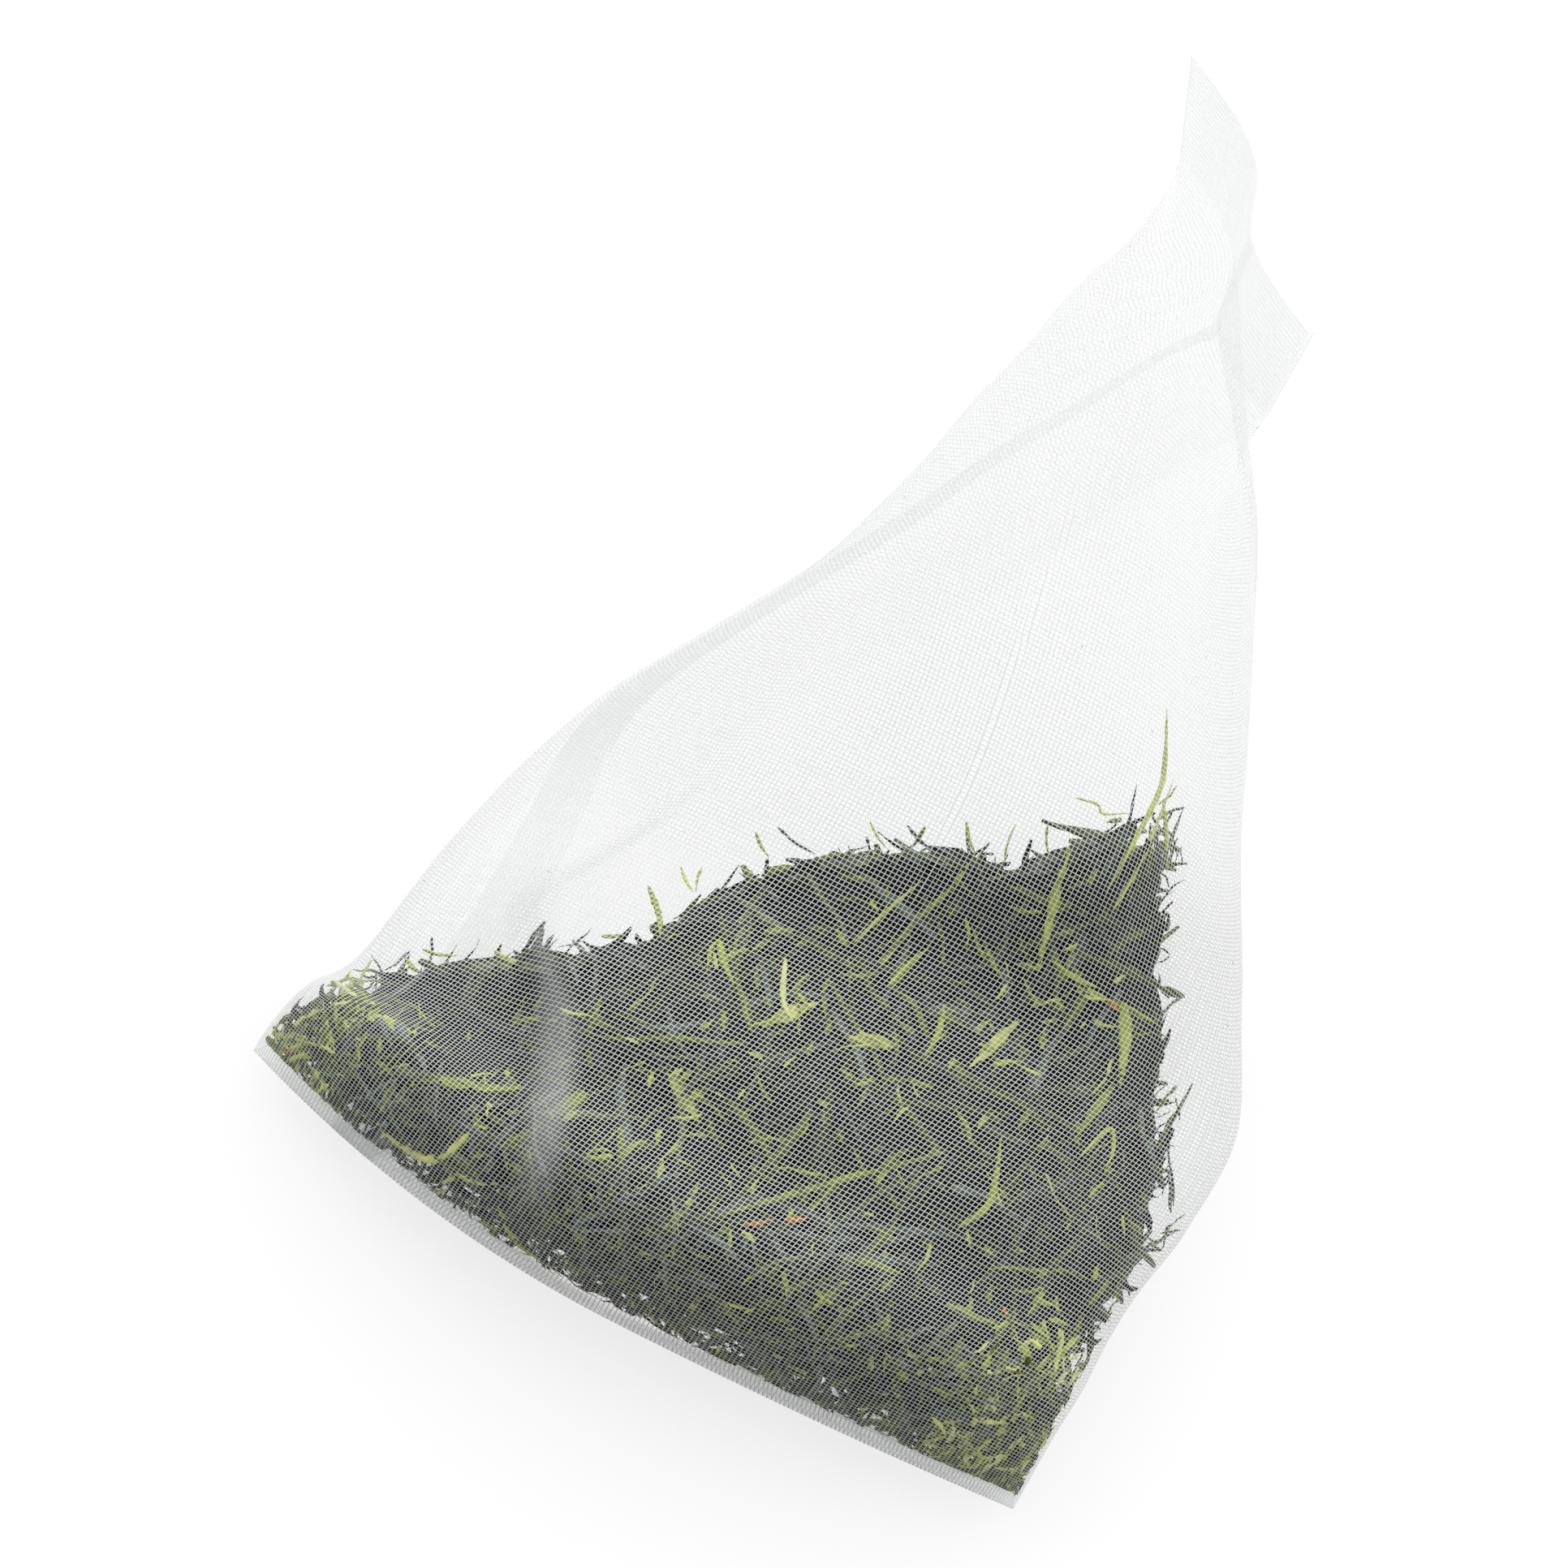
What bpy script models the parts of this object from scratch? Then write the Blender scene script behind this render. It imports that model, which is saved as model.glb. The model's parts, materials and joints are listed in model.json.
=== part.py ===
"""Pyramid tea bag: one web of woven mesh welded into a tube and sealed flat at both ends,
the two seals square to each other, lying on its back panel with rolled green leaves inside.

Metres, +Z up. The floor is Z = 0 and the origin is the middle of the bag's footprint box.
X runs along the bottom seal, which lies at -Y. The far seal stands up at +Y.
"""
import math
import random

import bmesh
import bpy
import numpy as np
from mathutils import Vector, noise

MM = 0.001

# The web and its seals
WEB = 54 * MM             # flat width of the tube, which is half its girth
FACE = 72 * MM            # from seal to seal, up the middle of a panel
FLANGE = 6 * MM           # welded strip beyond each seal
WALL = 0.4 * MM           # thickness of the web
RIDGE = 0.1 * MM          # how far a thread's crown stands above the web's middle
WELD_STEP = 0.25 * MM     # extra height of the overlap along the tube
GAP = 0.3 * MM            # clearance between pieces that touch

# How the filled bag lies
TILT = math.radians(21)   # how far the sections lean back from upright
TOE = 5.9 * MM            # how far the bottom seal's middle lies in front of the first section
LIFT = 3.3 * MM           # height of the bottom seal's middle above its two corners
CORNER_LIFT = 2.2 * MM    # height of those corners above the floor
SWEEP_LEFT = 6.6 * MM     # how far the left corner lies behind the seal's middle
SWEEP_RIGHT = 2.6 * MM
SINK = 0.7 * MM           # how far the panel would hang below the floor that flattens it
S_BEND = 1.6 * MM         # sideways wave of the standing seal

# Leaves
LEAF_BULK = 1.5 * MM      # room between the web and the heap that single leaves lie in
LUMP = 0.5 * MM           # fine relief of the heap
TUFT = 1.3 * MM           # height of the rolled leaves that stand out of the heap's surface

HALF = WEB / 2
REACH = 0.9 * FACE        # floor distance that the sections cover
NOSE = 0.12               # share of the length in which the bag rounds out from its bottom seal
TOP_SHARE = 0.955         # height that is left of the standing seal after its wave

AROUND = 40               # columns of the weave
ALONG = 29                # rows of the weave
FIRST_ROWS = (0.0, 0.012, 0.03, 0.055)
OPEN_FROM, OPEN_TO = 0.012, 0.972   # the hollow's ends, as shares of the length
GAP_EVERY = 3             # every third cell of the weave is left open both ways
SEAM_COLUMN = 36          # the overlap's column, low on the left side panel

# The four folds and the form between them, as stations: (share of the length, value).
# Fold values are shares of half the tube's flat width, from the bag's middle line.
FRONT_LEFT = ((0, -0.874), (0.1, -0.76), (0.2, -0.65), (0.3, -0.55), (0.4, -0.42), (0.5, -0.31),
              (0.6, -0.26), (0.7, -0.233), (0.8, -0.207), (0.9, -0.148), (1, -0.035))
FRONT_RIGHT = ((0, 0.893), (0.1, 0.896), (0.2, 0.89), (0.3, 0.86), (0.4, 0.76), (0.5, 0.62),
               (0.6, 0.51), (0.7, 0.42), (0.85, 0.24), (1, -0.035))
BACK_LEFT = ((0, -0.874), (0.1, -0.85), (0.2, -0.86), (0.3, -0.87), (0.4, -0.82), (0.5, -0.69),
             (0.6, -0.47), (0.7, -0.25), (0.85, 0.03), (1, 0.39))
BACK_RIGHT = ((0, 0.893), (0.1, 0.9), (0.2, 0.93), (0.3, 1.05), (0.4, 1.1), (0.5, 0.98),
              (0.6, 0.84), (0.7, 0.72), (0.85, 0.57), (1, 0.39))
SQUARENESS = ((0, 1.8), (0.1, 2.2), (0.2, 2.2), (0.3, 2.25), (0.4, 2.7), (0.5, 3.2), (0.7, 3.3),
              (0.9, 2.6), (1, 2))
FULLNESS = ((0, 0.58), (0.1, 0.74), (0.2, 0.88), (0.3, 0.98), (0.4, 1), (1, 1))
# The crease on the front panel, the drop of the panel to its left, and how soft the step is
CREASE = ((0, -0.26), (0.09, -0.29), (0.14, -0.34), (0.21, -0.39), (0.29, -0.5), (0.33, -0.47),
          (0.41, -0.37), (0.47, -0.29), (0.62, -0.21), (1, -0.03))
CREASE_DROP = ((0, 0.2), (0.1, 0.35), (0.2, 0.42), (0.3, 0.4), (0.4, 0.35), (0.5, 0.22), (0.62, 0), (1, 0))
CREASE_WIDTH = ((0, 0.3), (0.2, 0.26), (0.29, 0.15), (0.36, 0.06), (0.5, 0.06), (1, 0.07))

# The heap's outline on the front panel's plane: (share of HALF across, share of FACE up)
PANEL_RISE = math.radians(30)   # slope of that plane's up direction
HEAP_EDGE = ((-0.8, 0.03), (-0.7, 0.115), (-0.6, 0.15), (-0.39, 0.19), (-0.28, 0.225), (-0.2, 0.28),
             (-0.05, 0.34), (0.16, 0.385), (0.32, 0.4), (0.45, 0.455), (0.55, 0.46), (0.62, 0.42),
             (0.69, 0.37), (0.79, 0.295), (0.86, 0.25), (0.9, 0.19), (0.89, 0.13), (0.86, 0.05))


def ease(x):
    x = np.clip(x, 0, 1)
    return x * x * (3 - 2 * x)


def station(rows, share):
    """A smooth curve through the stations, read at a share of the length."""
    x, y = np.array(rows, float).T
    slope = np.gradient(y, x)
    i = int(np.clip(np.searchsorted(x, share, side="right") - 1, 0, len(x) - 2))
    step = x[i + 1] - x[i]
    f = (share - x[i]) / step
    start = (2 * f**3 - 3 * f**2 + 1) * y[i] + (f**3 - 2 * f**2 + f) * step * slope[i]
    end = (3 * f**2 - 2 * f**3) * y[i + 1] + (f**3 - f**2) * step * slope[i + 1]
    return start + end


def signed_power(value, exponent):
    return np.sign(value) * np.abs(value) ** exponent


def outline(share, angle, rise, grow=0.0):
    """Section points (x, h): a rounded box between the four folds, grown outwards by grow."""
    corner = 2 / station(SQUARENESS, share)
    across, height = -signed_power(np.cos(angle), corner), signed_power(np.sin(angle), corner)
    up = (1 + height) / 2
    left = (station(BACK_LEFT, share) * (1 - up) + station(FRONT_LEFT, share) * up) * HALF
    right = (station(BACK_RIGHT, share) * (1 - up) + station(FRONT_RIGHT, share) * up) * HALF
    x = (left + right) / 2 + ((right - left) / 2 + grow) * across
    return x, (rise + grow) * height


def girth_of(share, rise, angle):
    x, h = outline(share, angle, rise)
    return np.hypot(np.diff(x), np.diff(h)).sum()


def section(share, count):
    """The angles of count points at even steps round the girth, and the section's half height."""
    angle = np.linspace(0, 2 * math.pi, 721)
    low, high = 0.0, 2 * WEB
    for _ in range(30):
        rise = (low + high) / 2
        if girth_of(share, rise, angle) < 2 * WEB:
            low = rise
        else:
            high = rise
    x, h = outline(share, angle, rise)
    along = np.concatenate([[0], np.cumsum(np.hypot(np.diff(x), np.diff(h)))])
    turns = np.interp(np.linspace(0, along[-1], count, endpoint=False), along, angle)
    nose = math.sqrt(1 - max(0.0, 1 - share / NOSE) ** 2)
    rise *= nose * min(1, station(FULLNESS, share))
    rise *= 1 - (1 - TOP_SHARE) * float(ease((share - 0.8) / 0.2))
    return turns, rise


def place(share, x, h, rise, floor):
    """The section's points where they lie: creased, leaned back, lifted at the seal, none below floor."""
    left, right = outline(share, np.array([0, math.pi]), rise)[0]
    across = np.clip((x - (left + right) / 2) / ((right - left) / 2 + WALL), -1, 1)
    step = (station(CREASE, share) * HALF - x) / (station(CREASE_WIDTH, share) * HALF)
    h = np.where(h > 0, h * (1 - station(CREASE_DROP, share) * ease(step)), h)
    near = 1 - float(ease(share / 0.2))
    seal_lift = near * (CORNER_LIFT + LIFT * (1 - across**2))
    centre = rise * math.cos(TILT) + seal_lift - SINK * (1 - near)
    sweep = np.where(across < 0, SWEEP_LEFT, SWEEP_RIGHT) * across**2 * near
    wave = S_BEND * float(ease((share - 0.85) / 0.15)) * np.sin(math.pi * h / max(rise, WALL))
    y = REACH * share - TOE - h * math.sin(TILT) + sweep
    z = np.maximum(centre + h * math.cos(TILT), floor)
    return np.stack([x + wave, y, z], axis=-1)


def ring(share, grow, floor=0.0, count=AROUND):
    """One closed ring of a surface that lies grow outside the web's middle and never below floor."""
    angle, rise = section(share, count)
    x, h = outline(share, angle, rise, grow)
    return place(share, x, h, rise, floor)


ROWS = FIRST_ROWS + tuple(np.linspace(0.085, 1, ALONG - len(FIRST_ROWS)))
_edges = np.concatenate([ring(share, WALL / 2) for share in ROWS])


def bottom_flange(points, out):
    """The welded strip at the bottom seal, folded down and back under the bag, square to the seal."""
    left, right = points[:, 0].min(), points[:, 0].max()
    across = (2 * points[:, 0] - left - right) / (right - left)
    slope = np.where(across < 0, SWEEP_LEFT, SWEEP_RIGHT) * 4 * across / (right - left)
    end = np.maximum(points[:, 2] - FLANGE * math.cos(PANEL_RISE), WALL)
    fall = (points[:, 2] - end) / FLANGE
    back = np.sqrt(np.maximum(1 - fall**2, 0)) / np.hypot(1, slope)
    return points + out * FLANGE * np.stack([-slope * back, back, -fall], axis=-1)


def top_flange(points, out):
    """The welded strip that stands beyond the far seal, its high corner leaning to the left."""
    height = points[:, 2] / points[:, 2].max()
    lean = 0.05 - 0.38 * height
    along = np.stack([lean, 0.95 - 0.06 * height, 0.25 + 0 * height], axis=-1)
    return points + out * FLANGE * along


TOP_EDGE = top_flange(ring(1, WALL / 2), 1)
_far = np.concatenate([_edges, TOP_EDGE])
CENTRE = np.array([(_far[:, 0].min() + _far[:, 0].max()) / 2,
                   (_far[:, 1].min() + _far[:, 1].max()) / 2, 0])


def material(name, colour, roughness):
    made = bpy.data.materials.new(name)
    made.use_nodes = True
    shader = made.node_tree.nodes["Principled BSDF"]
    shader.inputs["Base Color"].default_value = (*colour, 1)
    shader.inputs["Roughness"].default_value = roughness
    made.diffuse_color = (*colour, 1)
    return made


def mesh_object(name, bm, collection, finish):
    """A named object from a bmesh built in the section frame, moved so the footprint is centred."""
    bmesh.ops.translate(bm, verts=bm.verts, vec=Vector(-CENTRE))
    bmesh.ops.recalc_face_normals(bm, faces=bm.faces)
    mesh = bpy.data.meshes.new(name)
    bm.to_mesh(mesh)
    bm.free()
    made = bpy.data.objects.new(name, mesh)
    made.data.materials.append(finish)
    collection.objects.link(made)
    return made


def add_ring(bm, points):
    return [bm.verts.new(p) for p in points]


def join_rings(bm, first, second, skip=()):
    count = len(first)
    for i in range(count):
        if i not in skip:
            k = (i + 1) % count
            bm.faces.new((first[i], first[k], second[k], second[i]))


def close_flat(bm, verts, tip):
    """Closes a flattened ring with a strip between its two sides, from the fold at index tip on."""
    count = len(verts)
    for i in range(count // 2):
        a, b = verts[(tip + i) % count], verts[(tip + i + 1) % count]
        c, d = verts[(tip - i - 1) % count], verts[(tip - i) % count]
        corners = [v for n, v in enumerate((a, b, c, d)) if v not in (a, b, c, d)[:n]]
        bm.faces.new(corners)


def thread_relief(row, on_seal):
    """Crowns and hollows of the plain weave, over and under by turns, and the overlap's step."""
    if on_seal:
        return np.zeros(AROUND)
    relief = RIDGE * np.where((np.arange(AROUND) + row) % 2 == 0, 1, -1)
    relief[SEAM_COLUMN] = relief[SEAM_COLUMN + 1] = WELD_STEP
    return relief


def open_cells(row, low, high):
    """The columns of a row whose cells are left open, as the spaces between the threads.

    The overlap, the seals and the patch that the bag rests on stay whole.
    """
    if row % GAP_EVERY or ROWS[row] < 0.08 or ROWS[row + 1] > OPEN_TO:
        return set()
    columns = set(range((row // GAP_EVERY) % 2, AROUND - 1, GAP_EVERY)) - {SEAM_COLUMN, SEAM_COLUMN - 1}
    return {i for i in columns if max(v.co.z for v in (low[i], low[i + 1], high[i], high[i + 1])) > RIDGE}


def mesh_bag(collection, finish):
    """The web: outer and inner rings of the weave, joined round every open cell and at both seals."""
    bm = bmesh.new()
    outer, inner = [], {}
    for row, share in enumerate(ROWS):
        on_seal = share < 0.02 or share > 0.98
        relief = thread_relief(row, on_seal)
        outer.append(add_ring(bm, ring(share, WALL / 2 + relief)))
        if OPEN_FROM <= share <= OPEN_TO:
            inner[row] = add_ring(bm, ring(share, -WALL / 2 + np.minimum(relief, RIDGE), WALL))
    for row in range(len(ROWS) - 1):
        gaps = open_cells(row, outer[row], outer[row + 1]) if row in inner and row + 1 in inner else set()
        join_rings(bm, outer[row], outer[row + 1], gaps)
        if row in inner and row + 1 in inner:
            join_rings(bm, inner[row], inner[row + 1], gaps)
        for i in gaps:
            rim = [(row, i), (row, i + 1), (row + 1, i + 1), (row + 1, i)]
            for (ra, ca), (rb, cb) in zip(rim, rim[1:] + rim[:1]):
                bm.faces.new((outer[ra][ca], outer[rb][cb], inner[rb][cb], inner[ra][ca]))
    close_flat(bm, inner[min(inner)], 0)
    close_flat(bm, inner[max(inner)], AROUND // 4)
    low = high = None
    for step in (0.5, 1.0):
        low_next = add_ring(bm, bottom_flange(ring(0, WALL / 2), step))
        high_next = add_ring(bm, top_flange(ring(1, WALL / 2), step))
        join_rings(bm, low or outer[0], low_next)
        join_rings(bm, high or outer[-1], high_next)
        low, high = low_next, high_next
    close_flat(bm, low, 0)
    close_flat(bm, high, AROUND // 4)
    return mesh_object("mesh_bag", bm, collection, finish)


def panel_axes():
    up = np.array([0, math.cos(PANEL_RISE), math.sin(PANEL_RISE)])
    out = np.array([0, -math.sin(PANEL_RISE), math.cos(PANEL_RISE)])
    return up, out


class LeafLayer:
    """A surface at a depth under the web's front panel, read at any place across and up the panel."""

    def __init__(self, depth, rows=100, columns=120):
        up = panel_axes()[0]
        self.across = np.linspace(-0.9, 0.95, 75)
        self.rise = np.linspace(0, 0.7, 85)
        strips = []
        for share in np.linspace(0.015, 0.96, rows):
            strip = ring(share, -depth, WALL / 2 + depth, columns)[:columns // 2 + 1]
            x = np.maximum.accumulate(strip[:, 0])
            strips.append([np.interp(self.across * HALF, x, strip[:, k]) for k in (1, 2)])
        strips = np.array(strips)
        self.grid = np.zeros((len(self.across), len(self.rise), 3))
        for i, across in enumerate(self.across):
            y, z = strips[:, 0, i], strips[:, 1, i]
            height = np.maximum.accumulate(y * up[1] + z * up[2])
            self.grid[i, :, 0] = across * HALF
            self.grid[i, :, 1] = np.interp(self.rise * FACE, height, y)
            self.grid[i, :, 2] = np.interp(self.rise * FACE, height, z)

    def point(self, across, rise):
        """The layer's point at across * HALF from the middle line and rise * FACE up the panel."""
        i = np.clip(np.interp(across, self.across, np.arange(len(self.across))), 0, len(self.across) - 1.001)
        j = np.clip(np.interp(rise, self.rise, np.arange(len(self.rise))), 0, len(self.rise) - 1.001)
        a, b, u, v = int(i), int(j), i - int(i), j - int(j)
        near = self.grid[a, b] * (1 - v) + self.grid[a, b + 1] * v
        far = self.grid[a + 1, b] * (1 - v) + self.grid[a + 1, b + 1] * v
        return near * (1 - u) + far * u

    def out(self, across, rise):
        """The layer's unit normal there, pointing out of the bag."""
        step = 0.03
        across = np.clip(across, -0.75, 0.82)
        rise = max(rise, 2 * step)
        over = self.point(across + step, rise) - self.point(across - step, rise)
        up = self.point(across, rise + step) - self.point(across, rise - step)
        normal = np.cross(over, up)
        return normal / np.linalg.norm(normal)


def crests(angle, share):
    """1 along the backs of the rolled leaves that stand out of the heap, 0 between them."""
    rough = [noise.noise(Vector((3.6 * math.cos(t), 3.6 * math.sin(t), share * 15))) for t in angle]
    return np.clip(1.2 - np.abs(rough) / 0.22, 0, 1)


def room_for_crests(points, h, laid):
    """1 where no single leaf of the plan lies over the heap's point, 0 under one. No leaf lies below h = 0."""
    up = panel_axes()[0]
    flat = np.stack([points[:, 0] / HALF / 2, points @ up / FACE / PANEL_SHAPE], axis=-1)
    room = np.ones(len(points))
    for line, width in laid:
        distance = np.linalg.norm(flat[:, None] - line[None], axis=-1).min(axis=1)
        room = np.minimum(room, ease((distance - width / 2 - 0.013) / 0.016))
    return np.where(h > 0, room, 1)


def heap_outline(collection, finish):
    """The prism that the heap is cut to. Its walls are rough with the ends of leaves."""
    up, out = panel_axes()
    foot = [(HEAP_EDGE[-1][0], -0.2), (HEAP_EDGE[0][0], -0.2)]
    corners = np.array([(a * HALF, b * FACE) for a, b in list(HEAP_EDGE) + foot])
    edges = np.roll(corners, -1, axis=0) - corners
    outline_points, outward = [], []
    for corner, edge in zip(corners, edges):
        length = np.linalg.norm(edge)
        for part in np.arange(max(1, round(length / (0.045 * WEB)))):
            outline_points.append(corner + edge * part / max(1, round(length / (0.045 * WEB))))
            outward.append(np.array([-edge[1], edge[0]]) / length)
    bm = bmesh.new()
    walls = []
    for level in np.linspace(-0.6, 0.5, 23):
        line = []
        for (a, b), (side, rise) in zip(outline_points, outward):
            end = 0.6 * TUFT * noise.noise(Vector((a / WEB * 19, b / WEB * 19, level * 19)))
            line.append(np.array([a + end * side, 0, 0]) + up * (b + end * rise) + out * level * WEB)
        walls.append(add_ring(bm, line))
    for low, high in zip(walls, walls[1:]):
        join_rings(bm, low, high)
    bm.faces.new(walls[0])
    bm.faces.new(walls[-1])
    bmesh.ops.triangulate(bm, faces=bm.faces)
    cutter = mesh_object("heap_outline", bm, collection, finish)
    cutter.hide_render = True
    cutter.display_type = "WIRE"
    return cutter


def leaf_heap(collection, finish, laid):
    """The packed leaves: the bag's hollow cut to the heap's outline, with the backs of rolled leaves."""
    bm = bmesh.new()
    count = 72
    rings = []
    for share in np.linspace(0.02, 0.66, 37):
        angle, rise = section(share, count)
        low = -(WALL / 2 + RIDGE + GAP)
        under = ease(np.sin(angle) * 2 + 0.9)
        bumps = np.array([noise.noise(Vector((7 * math.cos(t), 7 * math.sin(t), share * 22))) for t in angle])
        x, h = outline(share, angle, rise, low - LEAF_BULK * under)
        spots = place(share, x, h, rise, WALL + RIDGE + GAP)
        standing = min(TUFT, LEAF_BULK) * crests(angle, share) * room_for_crests(spots, h, laid)
        grow = low - (LEAF_BULK + LUMP * np.abs(bumps) - standing) * under
        x, h = outline(share, angle, rise, grow)
        rings.append(add_ring(bm, place(share, x, h, rise, WALL + RIDGE + GAP)))
    for first, second in zip(rings, rings[1:]):
        join_rings(bm, first, second)
    close_flat(bm, rings[0], 0)
    bm.faces.new(rings[-1])
    made = mesh_object("leaf_heap", bm, collection, finish)
    cutters = bpy.data.collections.new("cutters")
    bpy.context.scene.collection.children.link(cutters)
    cut = made.modifiers.new("outline", "BOOLEAN")
    cut.operation = "INTERSECT"
    cut.solver = "EXACT"
    cut.object = heap_outline(cutters, finish)
    return made


def leaf(name, path, outs, width, thickness, collection, finish):
    """A rolled or flat leaf: flattened rings along a path, drawn in to a point at both ends."""
    bm = bmesh.new()
    sides = 6
    rings = []
    for k in range(1, len(path) - 1):
        along = path[k + 1] - path[k - 1]
        side = np.cross(along, outs[k])
        side /= np.linalg.norm(side)
        over = np.cross(side, along)
        over /= np.linalg.norm(over)
        swell = math.sin(math.pi * k / (len(path) - 1)) ** 0.45
        rings.append(add_ring(bm, [
            path[k] + swell * (side * width / 2 * math.cos(t) + over * thickness / 2 * math.sin(t))
            for t in np.arange(sides) * 2 * math.pi / sides]))
    for first, second in zip(rings, rings[1:]):
        join_rings(bm, first, second)
    for tip, end in ((path[0], rings[0]), (path[-1], rings[-1])):
        point = bm.verts.new(tip)
        for i in range(sides):
            bm.faces.new((point, end[i], end[(i + 1) % sides]))
    return mesh_object(name, bm, collection, finish)


# The plan of the single leaves: places as shares across and up the panel, and sizes as shares of
# the web's width, so that the plan keeps its form at any size.
# Each is name, across, up, direction in degrees, length, width, thickness, bow, finish.
SHOWN_LEAVES = (
    ("long_stalk", 0.27, 0.13, 42, 0.25, 0.024, 0.016, 0.08, "stalk"),
    ("jointed_stalk", 0.6, 0.345, 2, 0.12, 0.022, 0.016, 0.12, "stalk"),
    ("pocket_rod", -0.47, 0.08, 25, 0.12, 0.022, 0.016, -0.2, "flake"),
    ("pocket_flake", -0.65, 0.09, 8, 0.075, 0.026, 0.011, -0.1, "flake"),
    ("corner_leaf", 0.7, 0.05, -20, 0.12, 0.031, 0.014, 0.1, "flake"),
    ("standing_leaf", 0.42, 0.515, 103, 0.176, 0.022, 0.016, 0.06, "leaf"),
    ("standing_leaf_short", 0.555, 0.47, 84, 0.13, 0.018, 0.016, -0.05, "leaf"),
    ("flake_1", 0.05, 0.23, 50, 0.083, 0.028, 0.011, 0.15, "flake"),
    ("flake_2", -0.07, 0.14, -30, 0.083, 0.026, 0.011, 0.1, "flake"),
    ("flake_3", 0.22, 0.24, 15, 0.074, 0.026, 0.011, 0.1, "flake"),
    ("flake_4", 0.43, 0.28, 70, 0.093, 0.024, 0.011, -0.15, "flake"),
    ("flake_5", 0.68, 0.27, 80, 0.093, 0.022, 0.011, 0.1, "flake"),
    ("flake_6", -0.03, 0.045, 0, 0.074, 0.031, 0.011, 0.1, "flake"),
)
SCATTERED = 22            # further rolled leaves laid over the heap
LEAF_SEED = 7
PANEL_SHAPE = 0.75        # width of the web over the length of the panel, in the plan


def plan_path(across, rise, direction, length, bow, points=7):
    """A bowed leaf's line in the plan, as (share across, share up) pairs."""
    turn = math.radians(direction)
    line = []
    for t in np.linspace(-0.5, 0.5, points):
        along, off = t * length, bow * length * (0.25 - t * t)
        line.append((across + 2 * (along * math.cos(turn) - off * math.sin(turn)),
                     rise + PANEL_SHAPE * (along * math.sin(turn) + off * math.cos(turn))))
    return np.array(line)


def spaced(line, width, laid):
    """Whether a leaf of that width lies clear of the leaves in the plan, 1.4 widths from line to line."""
    flat = line / (2, PANEL_SHAPE)
    return all(np.linalg.norm(flat[:, None] - other[None], axis=-1).min() > 0.7 * (width + wide)
               for other, wide in laid)


def heap_top(across):
    """The heap's upper edge in the plan."""
    a, b = np.array(HEAP_EDGE[:16]).T
    return float(np.interp(across, a, b))


def plan_leaves():
    """The shown leaves and, between them, the scattered ones that have room, and where all of them lie."""
    planned, laid = [], []
    for name, across, rise, direction, length, width, thickness, bow, finish in SHOWN_LEAVES:
        line = plan_path(across, rise, direction, length, bow)
        laid.append((line / (2, PANEL_SHAPE), width))
        planned.append((name, line, width, thickness, finish))
    random.seed(LEAF_SEED)
    tries, count = 0, 0
    while count < SCATTERED and tries < 6000:
        tries += 1
        across, rise = random.uniform(-0.7, 0.84), random.uniform(0, 0.42)
        length, direction = random.uniform(0.1, 0.165), random.uniform(0, 180)
        width, bow = random.uniform(0.8, 1.15) * 0.02, random.uniform(-0.2, 0.2)
        line = plan_path(across, rise, direction, length, bow)
        (left, low), (right, high) = line.min(0), line.max(0)
        inside = left > -0.68 and right < 0.79 and low > 0.035 and high < heap_top(across) - 0.03
        if inside and spaced(line, width, laid):
            count += 1
            laid.append((line / (2, PANEL_SHAPE), width))
            planned.append((f"leaf_{count:02d}", line, width, 0.018, "leaf"))
    return planned, laid


def leaves(collection, finishes, planned):
    """Single leaves between the web and the heap."""
    layer = LeafLayer(WALL / 2 + RIDGE + GAP + LEAF_BULK / 2)
    for name, line, width, thickness, finish in planned:
        path = np.array([layer.point(*spot) for spot in line])
        outs = [layer.out(*spot) for spot in line]
        thick = min(thickness * WEB, LEAF_BULK - 2 * GAP)
        leaf(name, path, outs, width * WEB, thick, collection, finishes[finish])


def build():
    for old in list(bpy.data.objects):
        bpy.data.objects.remove(old)
    parts = bpy.data.collections.new("pyramid_tea_bag")
    bpy.context.scene.collection.children.link(parts)
    finishes = {
        "web": material("woven mesh", (0.9, 0.93, 0.92), 0.45),
        "heap": material("packed green leaves", (0.045, 0.055, 0.04), 0.85),
        "leaf": material("rolled leaf", (0.06, 0.075, 0.04), 0.75),
        "flake": material("pale flake", (0.36, 0.4, 0.13), 0.7),
        "stalk": material("stalk", (0.45, 0.43, 0.2), 0.6),
    }
    planned, laid = plan_leaves()
    mesh_bag(parts, finishes["web"])
    leaf_heap(parts, finishes["heap"], laid)
    leaves(parts, finishes, planned)


build()
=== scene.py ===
# %% [markdown]
# # Dressing a pyramid tea bag
#
# The real bag is one strip of fine white nylon gauze. It is wrapped into a tube, welded along its
# length, and welded flat at both ends with the two welds square to each other, which makes the
# pyramid. Rolled green tea fills its lower part and shows through the gauze.
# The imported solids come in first, because every piece made here stands where they are.

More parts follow.
